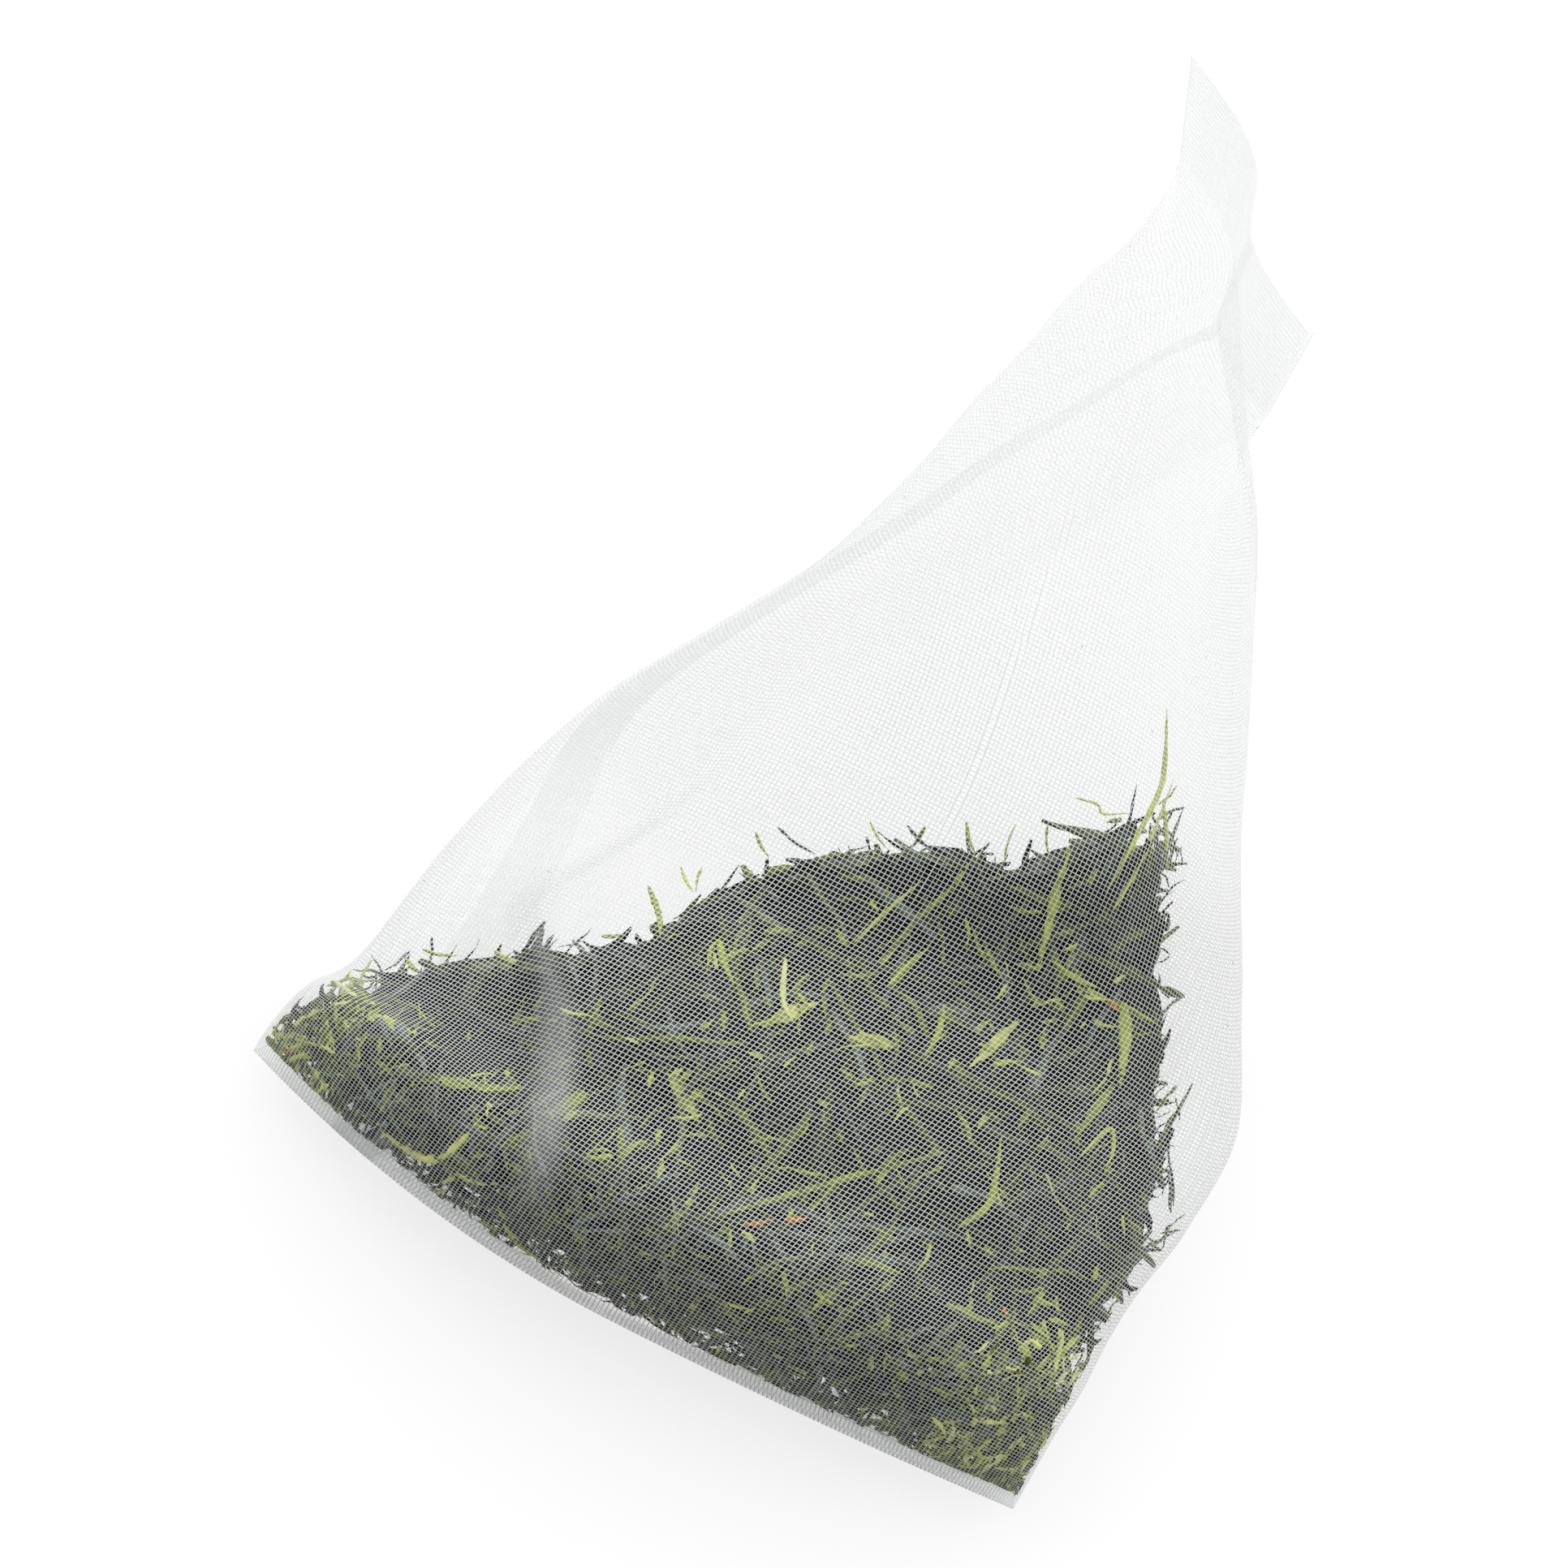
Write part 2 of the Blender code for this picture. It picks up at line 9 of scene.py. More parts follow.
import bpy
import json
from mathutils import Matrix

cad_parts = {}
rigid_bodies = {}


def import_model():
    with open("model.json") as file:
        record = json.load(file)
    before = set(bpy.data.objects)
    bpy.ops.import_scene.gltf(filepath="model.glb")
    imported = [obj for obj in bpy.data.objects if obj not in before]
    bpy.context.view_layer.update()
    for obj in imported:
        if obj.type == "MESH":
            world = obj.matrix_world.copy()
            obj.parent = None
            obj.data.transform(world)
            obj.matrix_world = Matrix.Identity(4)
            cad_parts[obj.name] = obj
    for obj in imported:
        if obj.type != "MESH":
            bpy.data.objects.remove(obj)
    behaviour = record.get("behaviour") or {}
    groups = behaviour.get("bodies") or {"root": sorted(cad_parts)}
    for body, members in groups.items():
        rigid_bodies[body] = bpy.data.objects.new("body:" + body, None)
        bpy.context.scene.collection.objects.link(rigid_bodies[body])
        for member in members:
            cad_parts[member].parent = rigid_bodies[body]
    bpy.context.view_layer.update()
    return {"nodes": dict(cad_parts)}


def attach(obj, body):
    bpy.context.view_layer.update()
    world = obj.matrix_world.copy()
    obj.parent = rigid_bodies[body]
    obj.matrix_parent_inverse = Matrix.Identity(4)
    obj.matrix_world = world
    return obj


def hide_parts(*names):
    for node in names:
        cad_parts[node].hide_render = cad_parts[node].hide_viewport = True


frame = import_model()

import json
import math
import random

import bmesh
import bpy
import numpy as np
from mathutils import Matrix, Vector, noise
from mathutils.bvhtree import BVHTree

MM = 0.001

# %% [markdown]
# ## The rule of the gauze
#
# A flat tube that is full of leaves keeps its girth everywhere. So the bag can be drawn as a row of
# closed sections, one after another from the bottom weld to the standing weld, each a rounded box
# between four folds, stretched until it has the tube's girth. The bag's surface, the beds that the
# leaves lie on and the space that holds them in are all this one rule at another depth.

# %% Sizes of the web and how it lies
WEB = 54 * MM             # flat width of the tube, which is half its girth
FACE = 72 * MM            # from seal to seal
FLANGE = 6 * MM           # welded strip beyond each seal
HALF = WEB / 2
REACH = 0.9 * FACE        # floor distance that the sections cover
TILT = math.radians(21)   # how far the sections lean back from upright
TOE = 5.9 * MM            # how far the bottom seal lies in front of the first section
LIFT, CORNER_LIFT = 3.3 * MM, 2.2 * MM            # heights of that seal's middle and its corners
SWEEP_LEFT, SWEEP_RIGHT = 6.6 * MM, 2.6 * MM      # how far the corners lie behind its middle
SINK = 0.7 * MM           # how far the back panel is flattened by the floor
S_BEND = 1.6 * MM         # sideways wave of the standing seal
NOSE = 0.12               # share of the length in which the bag rounds out from the bottom seal
TOP_SHARE = 0.955         # height that is left of the standing seal after its wave
PANEL_RISE = math.radians(30)
PITCH = 0.26 * MM         # from thread to thread
THREADS_AROUND = round(2 * WEB / PITCH)

# %% The folds and the form between them, as stations (share of the length, value)
FRONT_LEFT = ((0, -0.874), (0.1, -0.76), (0.2, -0.65), (0.3, -0.55), (0.4, -0.42), (0.5, -0.31),
              (0.6, -0.26), (0.7, -0.233), (0.8, -0.207), (0.9, -0.148), (1, -0.035))
FRONT_RIGHT = ((0, 0.893), (0.1, 0.896), (0.2, 0.89), (0.3, 0.86), (0.4, 0.76), (0.5, 0.62),
               (0.6, 0.51), (0.7, 0.42), (0.85, 0.24), (1, -0.035))
BACK_LEFT = ((0, -0.874), (0.1, -0.85), (0.2, -0.86), (0.3, -0.87), (0.4, -0.82), (0.5, -0.69),
             (0.6, -0.47), (0.7, -0.25), (0.85, 0.03), (1, 0.39))
BACK_RIGHT = ((0, 0.893), (0.1, 0.9), (0.2, 0.93), (0.3, 1.05), (0.4, 1.1), (0.5, 0.98),
              (0.6, 0.84), (0.7, 0.72), (0.85, 0.57), (1, 0.39))
SQUARENESS = ((0, 1.8), (0.1, 2.2), (0.2, 2.2), (0.3, 2.25), (0.4, 2.7), (0.5, 3.2), (0.7, 3.3),
              (0.9, 2.6), (1, 2))
FULLNESS = ((0, 0.58), (0.1, 0.74), (0.2, 0.88), (0.3, 0.98), (0.4, 1), (1, 1))
CREASE = ((0, -0.2), (0.09, -0.23), (0.14, -0.28), (0.21, -0.34), (0.29, -0.46), (0.33, -0.42),
          (0.41, -0.33), (0.47, -0.27), (0.62, -0.21), (1, -0.03))
CREASE_DROP = ((0, 0.2), (0.1, 0.35), (0.2, 0.42), (0.3, 0.4), (0.4, 0.35), (0.5, 0.22), (0.62, 0), (1, 0))
CREASE_WIDTH = ((0, 0.3), (0.1, 0.22), (0.2, 0.14), (0.29, 0.1), (0.36, 0.06), (0.5, 0.05), (1, 0.07))

# The heap's outline on the front panel: (share of the half width, share of the panel's length)
HEAP_EDGE = ((-0.88, 0.03), (-0.83, 0.075), (-0.72, 0.12), (-0.6, 0.15), (-0.39, 0.19), (-0.28, 0.225),
             (-0.2, 0.28), (-0.05, 0.34), (0.16, 0.385), (0.32, 0.4), (0.44, 0.45), (0.49, 0.5),
             (0.53, 0.51), (0.58, 0.46), (0.62, 0.42), (0.69, 0.37), (0.79, 0.3), (0.88, 0.25),
             (0.935, 0.19), (0.93, 0.13), (0.9, 0.05))


def ease(x):
    x = np.clip(x, 0, 1)
    return x * x * (3 - 2 * x)


def between(f, values, slopes, i, step=1):
    """The smooth curve from value i to the next one, at the share f of the way."""
    start = (2 * f**3 - 3 * f**2 + 1) * values[i] + (f**3 - 2 * f**2 + f) * step * slopes[i]
    end = (3 * f**2 - 2 * f**3) * values[i + 1] + (f**3 - f**2) * step * slopes[i + 1]
    return start + end


def station(rows, share):
    """A smooth curve through the stations, read at a share of the length."""
    x, y = np.array(rows, float).T
    i = int(np.clip(np.searchsorted(x, share, side="right") - 1, 0, len(x) - 2))
    step = x[i + 1] - x[i]
    return between((share - x[i]) / step, y, np.gradient(y, x), i, step)


# %% One section of the tube, and where it lies
def outline(share, angle, rise, grow=0.0):
    """A section's points (x, h), grown outwards by grow."""
    corner = 2 / station(SQUARENESS, share)
    across = -np.sign(np.cos(angle)) * np.abs(np.cos(angle)) ** corner
    height = np.sign(np.sin(angle)) * np.abs(np.sin(angle)) ** corner
    up = (1 + height) / 2
    left = (station(BACK_LEFT, share) * (1 - up) + station(FRONT_LEFT, share) * up) * HALF
    right = (station(BACK_RIGHT, share) * (1 - up) + station(FRONT_RIGHT, share) * up) * HALF
    return (left + right) / 2 + ((right - left) / 2 + grow) * across, (rise + grow) * height


def section(share, turns):
    """The angles at which the girth has run through the given turns, and the half height."""
    angle = np.linspace(0, 2 * math.pi, 721)
    low, high = 0.0, 2 * WEB
    for _ in range(30):
        rise = (low + high) / 2
        x, h = outline(share, angle, rise)
        if np.hypot(np.diff(x), np.diff(h)).sum() < 2 * WEB:
            low = rise
        else:
            high = rise
    run = np.concatenate([[0], np.cumsum(np.hypot(np.diff(x), np.diff(h)))])
    nose = math.sqrt(1 - max(0.0, 1 - share / NOSE) ** 2)
    rise *= nose * min(1, station(FULLNESS, share))
    rise *= 1 - (1 - TOP_SHARE) * float(ease((share - 0.8) / 0.2))
    return np.interp(turns % 1 * run[-1], run, angle), rise


def place(share, x, h, rise, floor):
    """The section's points creased, leaned back, lifted at the weld and kept off the floor."""
    left, right = outline(share, np.array([0, math.pi]), rise)[0]
    across = np.clip((x - (left + right) / 2) / ((right - left) / 2 + 0.4 * MM), -1, 1)
    step = (station(CREASE, share) * HALF - x) / (station(CREASE_WIDTH, share) * HALF)
    h = np.where(h > 0, h * (1 - station(CREASE_DROP, share) * ease(step)), h)
    near = 1 - float(ease(share / 0.2))
    seal_lift = near * (CORNER_LIFT + LIFT * (1 - across**2))
    centre = rise * math.cos(TILT) + seal_lift - SINK * (1 - near)
    sweep = np.where(across < 0, SWEEP_LEFT, SWEEP_RIGHT) * across**2 * near
    wave = S_BEND * float(ease((share - 0.85) / 0.15)) * np.sin(math.pi * h / max(rise, 0.4 * MM))
    y = REACH * share - TOE - h * math.sin(TILT) + sweep
    z = np.maximum(centre + h * math.cos(TILT), floor)
    return np.stack([x + wave, y, z], axis=-1)


def bottom_flange(points, out):
    """The welded strip at the bottom, folded down and back under the bag, square to the weld."""
    left, right = points[:, 0].min(), points[:, 0].max()
    across = (2 * points[:, 0] - left - right) / (right - left)
    slope = np.where(across < 0, SWEEP_LEFT, SWEEP_RIGHT) * 4 * across / (right - left)
    end = np.maximum(points[:, 2] - FLANGE * math.cos(PANEL_RISE), 0.4 * MM)
    fall = (points[:, 2] - end) / FLANGE
    back = np.sqrt(np.maximum(1 - fall**2, 0)) / np.hypot(1, slope)
    return points + out * FLANGE * np.stack([-slope * back, back, -fall], axis=-1)


def top_flange(points, out):
    """The welded strip beyond the standing weld, its high corner leaning to the left."""
    height = points[:, 2] / points[:, 2].max()
    lean = 0.05 - 0.38 * height
    return points + out * FLANGE * np.stack([lean, 0.95 - 0.06 * height, 0.25 + 0 * height], axis=-1)


def ring(share, grow, turns, floor=0.0, ruffle=0.0):
    """One section of a surface that lies grow outside the gauze's middle."""
    angle, rise = section(share, turns)
    x, h = outline(share, angle, rise, grow + ruffle)
    return place(share, x, h, rise, floor)


EVEN = np.linspace(0, 1, 120, endpoint=False)
_seals = np.concatenate([ring(s, 0.2 * MM, EVEN) for s in np.linspace(0, 1, 41)]
                        + [top_flange(ring(1, 0.2 * MM, EVEN), 1)])
CENTRE = np.array([(_seals[:, 0].min() + _seals[:, 0].max()) / 2,
                   (_seals[:, 1].min() + _seals[:, 1].max()) / 2, 0])
print("middle of the footprint in the sections' own frame, mm:", (CENTRE / MM).round(2))

# %% [markdown]
# ## Node recipes
#
# Shader maths reads best as maths. A small class wraps a socket, so that `1 - mask * 0.5` adds its
# Math nodes by itself, and one method adds any other node from its type, settings and inputs. The
# same class builds the Geometry Nodes trees further down.


# %% A socket that can be calculated with
class Value:
    def __init__(self, recipe, socket):
        self.recipe, self.socket = recipe, socket

    def maths(self, operation, *others):
        return self.recipe.add(self.recipe.maths_node, {"operation": operation}, self, *others)

    def __add__(self, other):
        return self.maths("ADD", other)

    def __sub__(self, other):
        return self.maths("SUBTRACT", other)

    def __mul__(self, other):
        return self.maths("MULTIPLY", other)

    def __rsub__(self, other):
        return self.recipe.add(self.recipe.maths_node, {"operation": "SUBTRACT"}, other, self)

    __radd__ = __add__

    def smooth(self, low, high):
        """0 below low, 1 above high, and a soft step between."""
        soft = {"interpolation_type": "SMOOTHSTEP"}
        return self.recipe.add("ShaderNodeMapRange", soft, self, low, high, 0, 1)


class Recipe:
    """Adds nodes to a tree. Inputs are given in order, or by name, as values or as Value."""

    maths_node = "ShaderNodeMath"

    def __init__(self, tree):
        self.tree = tree

    def add(self, kind, settings=None, *inputs, out=0, **named):
        node = self.tree.nodes.new(kind)
        for key, value in (settings or {}).items():
            if key == "stops":
                ramp = node.color_ramp.elements
                while len(ramp) < len(value):
                    ramp.new(0.5)
                for element, (position, colour) in zip(ramp, value):
                    element.position, element.color = position, (*colour, 1)
            else:
                setattr(node, key, value)
        sockets = [s for s in node.inputs if s.enabled]
        pairs = list(zip(sockets, inputs))
        for name, value in named.items():
            pairs.append((next(s for s in sockets if s.name == name.replace("_", " ")), value))
        for socket, value in pairs:
            if isinstance(value, Value):
                self.tree.links.new(value.socket, socket)
            elif value is not None:
                socket.default_value = value
        outputs = [s for s in node.outputs if s.enabled]
        picked = outputs[out] if isinstance(out, int) else next(s for s in outputs if s.name == out)
        return Value(self, picked)


def new_material(name):
    made = bpy.data.materials.new(name)
    made.use_nodes = True
    made.node_tree.nodes.clear()
    return made, Recipe(made.node_tree)


def finish_material(made, recipe, surface):
    out = made.node_tree.nodes.new("ShaderNodeOutputMaterial")
    made.node_tree.links.new(surface.socket, out.inputs["Surface"])
    return made


# %% An object from a bmesh
def add_object(name, bm, finish=None):
    """Makes a scene object of a bmesh, which is freed."""
    mesh = bpy.data.meshes.new(name)
    bm.to_mesh(mesh)
    bm.free()
    if finish:
        mesh.materials.append(finish)
    made = bpy.data.objects.new(name, mesh)
    bpy.context.scene.collection.objects.link(made)
    return made


# %% [markdown]
# ## The gauze's finish
#
# The gauze is a plain weave of clear nylon thread, 0.26 mm from thread to thread, and each thread
# covers about a fifth of that. Modelled threads would need millions of faces, so the weave is a
# pattern on the cloth's own UV map, which counts threads: the threads are solid and the spaces
# between them are clear. Nylon is not quite opaque, so a little of what lies behind shows through
# the threads too. Each thread rises where it passes over the crossing one.

# %% The gauze's finish
THREAD = 0.21             # share of the pitch that a thread covers
# This cover also draws the pleat: a painted highlight of the fold over the leaves and painted crease shade
# above them.
WELD_AND_PAINTED_CREASE_COVER = 0.38         # how far doubled or welded cloth closes the spaces between threads
THREAD_SOLID = 0.76       # how little shows through one thread, and how much less at a crossing
CROSSING_SOLID = 0.14


def gauze_finish():
    made, r = new_material("nylon gauze")
    uv = r.add("ShaderNodeUVMap", {"uv_map": "threads"})
    u = r.add("ShaderNodeSeparateXYZ", None, uv)
    v = Value(r, u.socket.node.outputs[1])
    across = (u.maths("FRACT") - 0.5).maths("ABSOLUTE")
    along = (v.maths("FRACT") - 0.5).maths("ABSOLUTE")
    thread_u = 1 - across.smooth(THREAD / 2 - 0.03, THREAD / 2 + 0.03)
    thread_v = 1 - along.smooth(THREAD / 2 - 0.03, THREAD / 2 + 0.03)
    cover = thread_u.maths("MAXIMUM", thread_v)
    # The weld attribute holds the welds, the lap and the pleat; the pleat's extra cover is a painted fold
    # highlight and painted crease shade.
    weld = r.add("ShaderNodeAttribute", {"attribute_name": "weld"}, out="Fac")
    cover = cover.maths("MAXIMUM", weld * WELD_AND_PAINTED_CREASE_COVER)
    over = ((u.maths("FLOOR") + v.maths("FLOOR")) * 0.5).maths("FRACT").maths("GREATER_THAN", 0.25)
    crown = thread_u * over + thread_v * (1 - over)
    height = crown * 0.6 + cover * 0.4
    bump = r.add("ShaderNodeBump", None, Strength=0.35, Distance=0.00006, Height=height)
    place_at = r.add("ShaderNodeTexCoord", None, out="Object")
    cloud = r.add("ShaderNodeTexNoise", None, place_at, Scale=90.0, Detail=2.0)
    tone = r.add("ShaderNodeMix", {"data_type": "RGBA"}, cloud, (0.9, 0.92, 0.91, 1), (0.97, 0.98, 0.97, 1))
    thread = r.add("ShaderNodeBsdfPrincipled", None, Base_Color=tone, Roughness=0.42, Normal=bump, IOR=1.53)
    glow = r.add("ShaderNodeBsdfTranslucent", None, tone)
    nylon = r.add("ShaderNodeMixShader", None, 0.4, thread, glow)
    clear = r.add("ShaderNodeBsdfTransparent")
    solid = cover * THREAD_SOLID + thread_u * thread_v * CROSSING_SOLID
    surface = r.add("ShaderNodeMixShader", None, solid, clear, nylon)
    return finish_material(made, r, surface)


GAUZE = gauze_finish()

# %% [markdown]
# ## The gauze
#
# The web is made as it is on the machine: one strip as long as the bag and a little wider than its
# girth, wrapped round until its two edges overlap by 3 mm on the left side, with both ends pressed
# flat. It stays an open sheet of cloth. Small ruffles run out from the welds, where the cloth is
# gathered, and soft dents cover the rest. One pleat of doubled cloth runs up the front. Over the
# leaves it shows as a whiter band, which is also a painted highlight of the fold, and above them it
# runs out as a thin line of painted crease shade.

# %% The wrapped strip
OVERLAP = 3 * MM / (2 * WEB)
SEAM = 0.895
COLUMNS, ROWS, FLANGE_ROWS = 300, 230, 12
LAP_COVER = 0.2           # how doubled the cloth counts in its overlap
turns = SEAM + np.linspace(0, 1 + OVERLAP, COLUMNS)
lap = 0.1 * MM * ease((turns - SEAM - 1) / OVERLAP * 6)
lapped = (turns > SEAM + 1) | (turns < SEAM + OVERLAP)
shares = np.concatenate([np.linspace(0, 0.12, 50, endpoint=False), np.linspace(0.12, 1, ROWS - 50)])


def ruffles(share, turns):
    """Small folds across the cloth: gathers near both welds and shallow dents all over."""
    turn = 2 * math.pi * turns
    gather = 0
    for reach, start, waves in ((0.07, share, 23), (0.09, 1 - share, 17)):
        strength = start / reach * math.exp(1 - start / reach)
        gather = gather + strength * np.sin(waves * turn + 2 * np.sin(3 * turn) + 9 * share)
    dents = np.array([noise.noise(Vector((2.2 * math.cos(t), 2.2 * math.sin(t), share * 5))) for t in turn])
    fine = np.array([noise.noise(Vector((6 * math.cos(t), 6 * math.sin(t), share * 11 + 7))) for t in turn])
    quiet = min(1.0, share / 0.03, (1 - share) / 0.02)
    return quiet * (0.1 * gather + 0.35 * dents + 0.14 * fine) * MM


# Where the pleat runs, with its painted fold highlight over the leaves and painted crease shade above them:
# (share of the length, mm across)
PLEAT_AND_PAINTED_CREASE = ((0.03, -6.6), (0.08, -7.5), (0.17, -9), (0.21, -10.2), (0.25, -12.2), (0.28, -13.6),
         (0.3, -13.5), (0.32, -12.7), (0.39, -9.9), (0.46, -7.7))


def pleat_and_painted_crease(share, points):
    """How much each point counts as folded double, with painted light: a band over the leaves, partly
    double cloth and partly a painted highlight of the fold, that runs out above them as a thin line of
    painted crease shade.
    """
    away = np.abs(points[:, 0] - station(PLEAT_AND_PAINTED_CREASE, np.clip(share, 0.03, 0.46)) * MM)
    thin = float(ease((share - 0.18) / 0.08))
    ends = float(ease(share / 0.08) * ease((0.47 - share) / 0.1))
    width = 1.6 - 1.0 * thin
    return (0.9 - 0.1 * thin) * ends * ease(1.3 - 1.3 * away / (width * MM)) * (turns % 1 < 0.5)


def gauze_rows():
    """The strip's rows: points, way along the strip in metres, how welded or folded double each point is,
    where the pleat's share is painted fold highlight and crease shade.
    """
    base = [ring(s, 0.06 * MM + lap, turns, 0.0, ruffles(s, turns)) for s in shares]
    front = np.abs((turns % 1) - 0.3).argmin()
    middle = np.array([row[front] for row in base])
    way = np.concatenate([[0], np.cumsum(np.linalg.norm(np.diff(middle, axis=0), axis=1))])
    rows = []
    outs = np.arange(1, FLANGE_ROWS + 1) / FLANGE_ROWS
    for out in outs[::-1]:
        rows.append((bottom_flange(base[0], out), -out * FLANGE, np.full(COLUMNS, 0.5)))
    for share, points, at in zip(shares, base, way):
        # The pleat's extra cover is painted light: a fold highlight over the leaves and a crease shade line
        # above them.
        rows.append((points, at, np.maximum(pleat_and_painted_crease(share, points), LAP_COVER * lapped)))
    for out in outs:
        rows.append((top_flange(base[-1], out), way[-1] + out * FLANGE, np.full(COLUMNS, 0.4)))
    return rows


def wrap_gauze():
    rows = gauze_rows()
    bm = bmesh.new()
    uv = bm.loops.layers.uv.new("threads")
    # The weld layer holds how welded or folded double each point is, and the pleat's painted fold highlight
    # and crease shade.
    weld = bm.verts.layers.float.new("weld")
    grid = []
    for points, at, doubling_and_painted_crease in rows:
        line = [bm.verts.new(p - CENTRE) for p in points]
        for vert, much in zip(line, doubling_and_painted_crease):
            vert[weld] = much
        grid.append((line, at))
    for (low, low_at), (high, high_at) in zip(grid, grid[1:]):
        for j in range(COLUMNS - 1):
            face = bm.faces.new((low[j], low[j + 1], high[j + 1], high[j]))
            face.smooth = True
            spots = ((j, low_at), (j + 1, low_at), (j + 1, high_at), (j, high_at))
            for loop, (k, at) in zip(face.loops, spots):
                loop[uv].uv = (turns[k] * THREADS_AROUND, at / PITCH + 60)
    area = sum(f.calc_area() for f in bm.faces)
    made = add_object("gauze_web", bm, GAUZE)
    print("gauze:", len(made.data.polygons), "faces,", round(area * 1e4, 1), "cm2")
    return made


gauze = wrap_gauze()
middle_face = gauze.data.polygons[(FLANGE_ROWS + 110) * (COLUMNS - 1) + int(COLUMNS * 0.42)]
print("a front face looks", [round(v, 2) for v in middle_face.normal])
if middle_face.normal.z < 0:
    gauze.data.flip_normals()

# %% [markdown]
# ## Tea
#
# A rolled leaf is a thin, twisted, slightly flattened rod with a dull dark skin. Among the dark
# ones lie olive and yellow-green flakes, pale stalks and a few orange-brown bits. One finish does
# for all of them: a number kept on each leaf picks its colour, and noise in the leaf's own place
# gives the streaks, so no two leaves look alike.


# %% Leaf finish
def leaf_finish(name, stops, streak):
    made, r = new_material(name)
    place_at = r.add("ShaderNodeTexCoord", None, out="Object")
    tint = r.add("ShaderNodeAttribute", {"attribute_name": "leaf_tint"}, out="Fac")
    base = r.add("ShaderNodeValToRGB", {"stops": stops}, tint, out="Color")
    coarse = r.add("ShaderNodeTexNoise", None, place_at, Scale=900.0, Detail=3.0)
    fine = r.add("ShaderNodeTexNoise", None, place_at, Scale=3800.0, Detail=2.0)
    dark = r.add("ShaderNodeMix", {"data_type": "RGBA", "blend_type": "MULTIPLY"}, streak, base,
                 (0.35, 0.38, 0.33, 1))
    shade = coarse.smooth(0.38, 0.66)
    colour = r.add("ShaderNodeMix", {"data_type": "RGBA"}, shade, dark, base)
    relief = coarse * 0.7 + fine * 0.3
    bump = r.add("ShaderNodeBump", None, Strength=0.7, Distance=0.00015, Height=relief)
    rough = 0.5 + coarse * 0.3
    surface = r.add("ShaderNodeBsdfPrincipled", None, Base_Color=colour, Roughness=rough, Normal=bump,
                    Specular_IOR_Level=0.2)
    return finish_material(made, r, surface)


LEAF_COLOURS = ((0, (0.002, 0.003, 0.002)), (0.14, (0.006, 0.009, 0.006)), (0.28, (0.17, 0.21, 0.175)),
                (0.38, (0.004, 0.006, 0.004)), (0.52, (0.17, 0.21, 0.09)), (0.6, (0.012, 0.018, 0.004)),
                (0.72, (0.13, 0.17, 0.02)), (0.84, (0.36, 0.43, 0.05)), (0.92, (0.66, 0.7, 0.15)),
                (0.97, (0.75, 0.74, 0.42)), (1, (0.6, 0.22, 0.05)))
LEAF = leaf_finish("rolled tea leaf", LEAF_COLOURS, 0.5)
PALE = leaf_finish("pale leaf and stalk", LEAF_COLOURS, 0.35)

# %% [markdown]
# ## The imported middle
#
# Only the outer layers of leaves can be seen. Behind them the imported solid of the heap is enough,
# made finer, roughened, and drawn in a little so that the leaves on it have room.


# %% The heap's middle
def welded_copy(node):
    """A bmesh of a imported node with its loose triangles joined."""
    bm = bmesh.new()
    bm.from_mesh(frame["nodes"][node].data)
    bmesh.ops.remove_doubles(bm, verts=bm.verts, dist=1e-6)
    return bm


def packed_middle():
    bm = welded_copy("leaf_heap")
    for _ in range(3):
        long_edges = [e for e in bm.edges if e.calc_length() > 1.1 * MM]
        bmesh.ops.subdivide_edges(bm, edges=long_edges, cuts=1, use_grid_fill=True)
    bmesh.ops.triangulate(bm, faces=bm.faces)
    bm.normal_update()
    tint = bm.verts.layers.float.new("leaf_tint")
    moved = []
    for vert in bm.verts:
        p = vert.co / MM
        lump = noise.noise(p * 0.5) * 0.7 + abs(noise.noise(p * 1.3)) * 0.6
        moved.append(vert.co + vert.normal * (lump - 0.6 + 0.6 * (vert.co.y < -31 * MM)) * MM)
        vert[tint] = 0.05 + 0.1 * noise.noise(p * 0.7)
    for vert, co in zip(bm.verts, moved):
        vert.co = co
        vert.co.z = max(vert.co.z, 0.5 * MM)
    for face in bm.faces:
        face.smooth = True
    made = add_object("packed_leaves", bm, LEAF)
    print("packed middle:", len(made.data.polygons), "triangles")
    return made


middle = packed_middle()

# %% [markdown]
# ## Single leaves
#
# Leaves are made once in a few shapes, then laid in hundreds. A shape is a run of flattened rings
# along a bowed line. The rings turn as they go, which gives the twist of a rolled leaf.


# %% A leaf's shape
def rod(bm, path, outs, width, thickness, twist=0.0, sides=5, ragged=0.0, seed=0, tint=None):
    """Adds a leaf along path to bm: flattened, twisted rings drawn in at both ends."""
    rnd = random.Random(seed)
    layer = bm.verts.layers.float.get("leaf_tint") or bm.verts.layers.float.new("leaf_tint")
    rings = []
    count = len(path)
    for k in range(count):
        along = path[min(k + 1, count - 1)] - path[max(k - 1, 0)]
        side = np.cross(along, outs[k])
        side /= np.linalg.norm(side)
        over = np.cross(side, along)
        over /= np.linalg.norm(over)
        turn = twist * k / count
        c, s = math.cos(turn), math.sin(turn)
        side, over = side * c + over * s, over * c - side * s
        t = (k + 0.4) / (count - 0.2)
        swell = max(0.1, 1.75 * t**0.5 * (1 - t) ** 0.75)
        swell *= 1 + ragged * rnd.uniform(-1, 1)
        verts = []
        for i in range(sides):
            t = 2 * math.pi * i / sides
            spot = path[k] + swell * (side * width / 2 * math.cos(t) + over * thickness / 2 * math.sin(t))
            vert = bm.verts.new(spot)
            if tint is not None:
                vert[layer] = tint
            verts.append(vert)
        rings.append(verts)
    for first, second in zip(rings, rings[1:]):
        for i in range(sides):
            j = (i + 1) % sides
            bm.faces.new((first[i], first[j], second[j], second[i])).smooth = True
    bm.faces.new(rings[0][::-1])
    bm.faces.new(rings[-1])


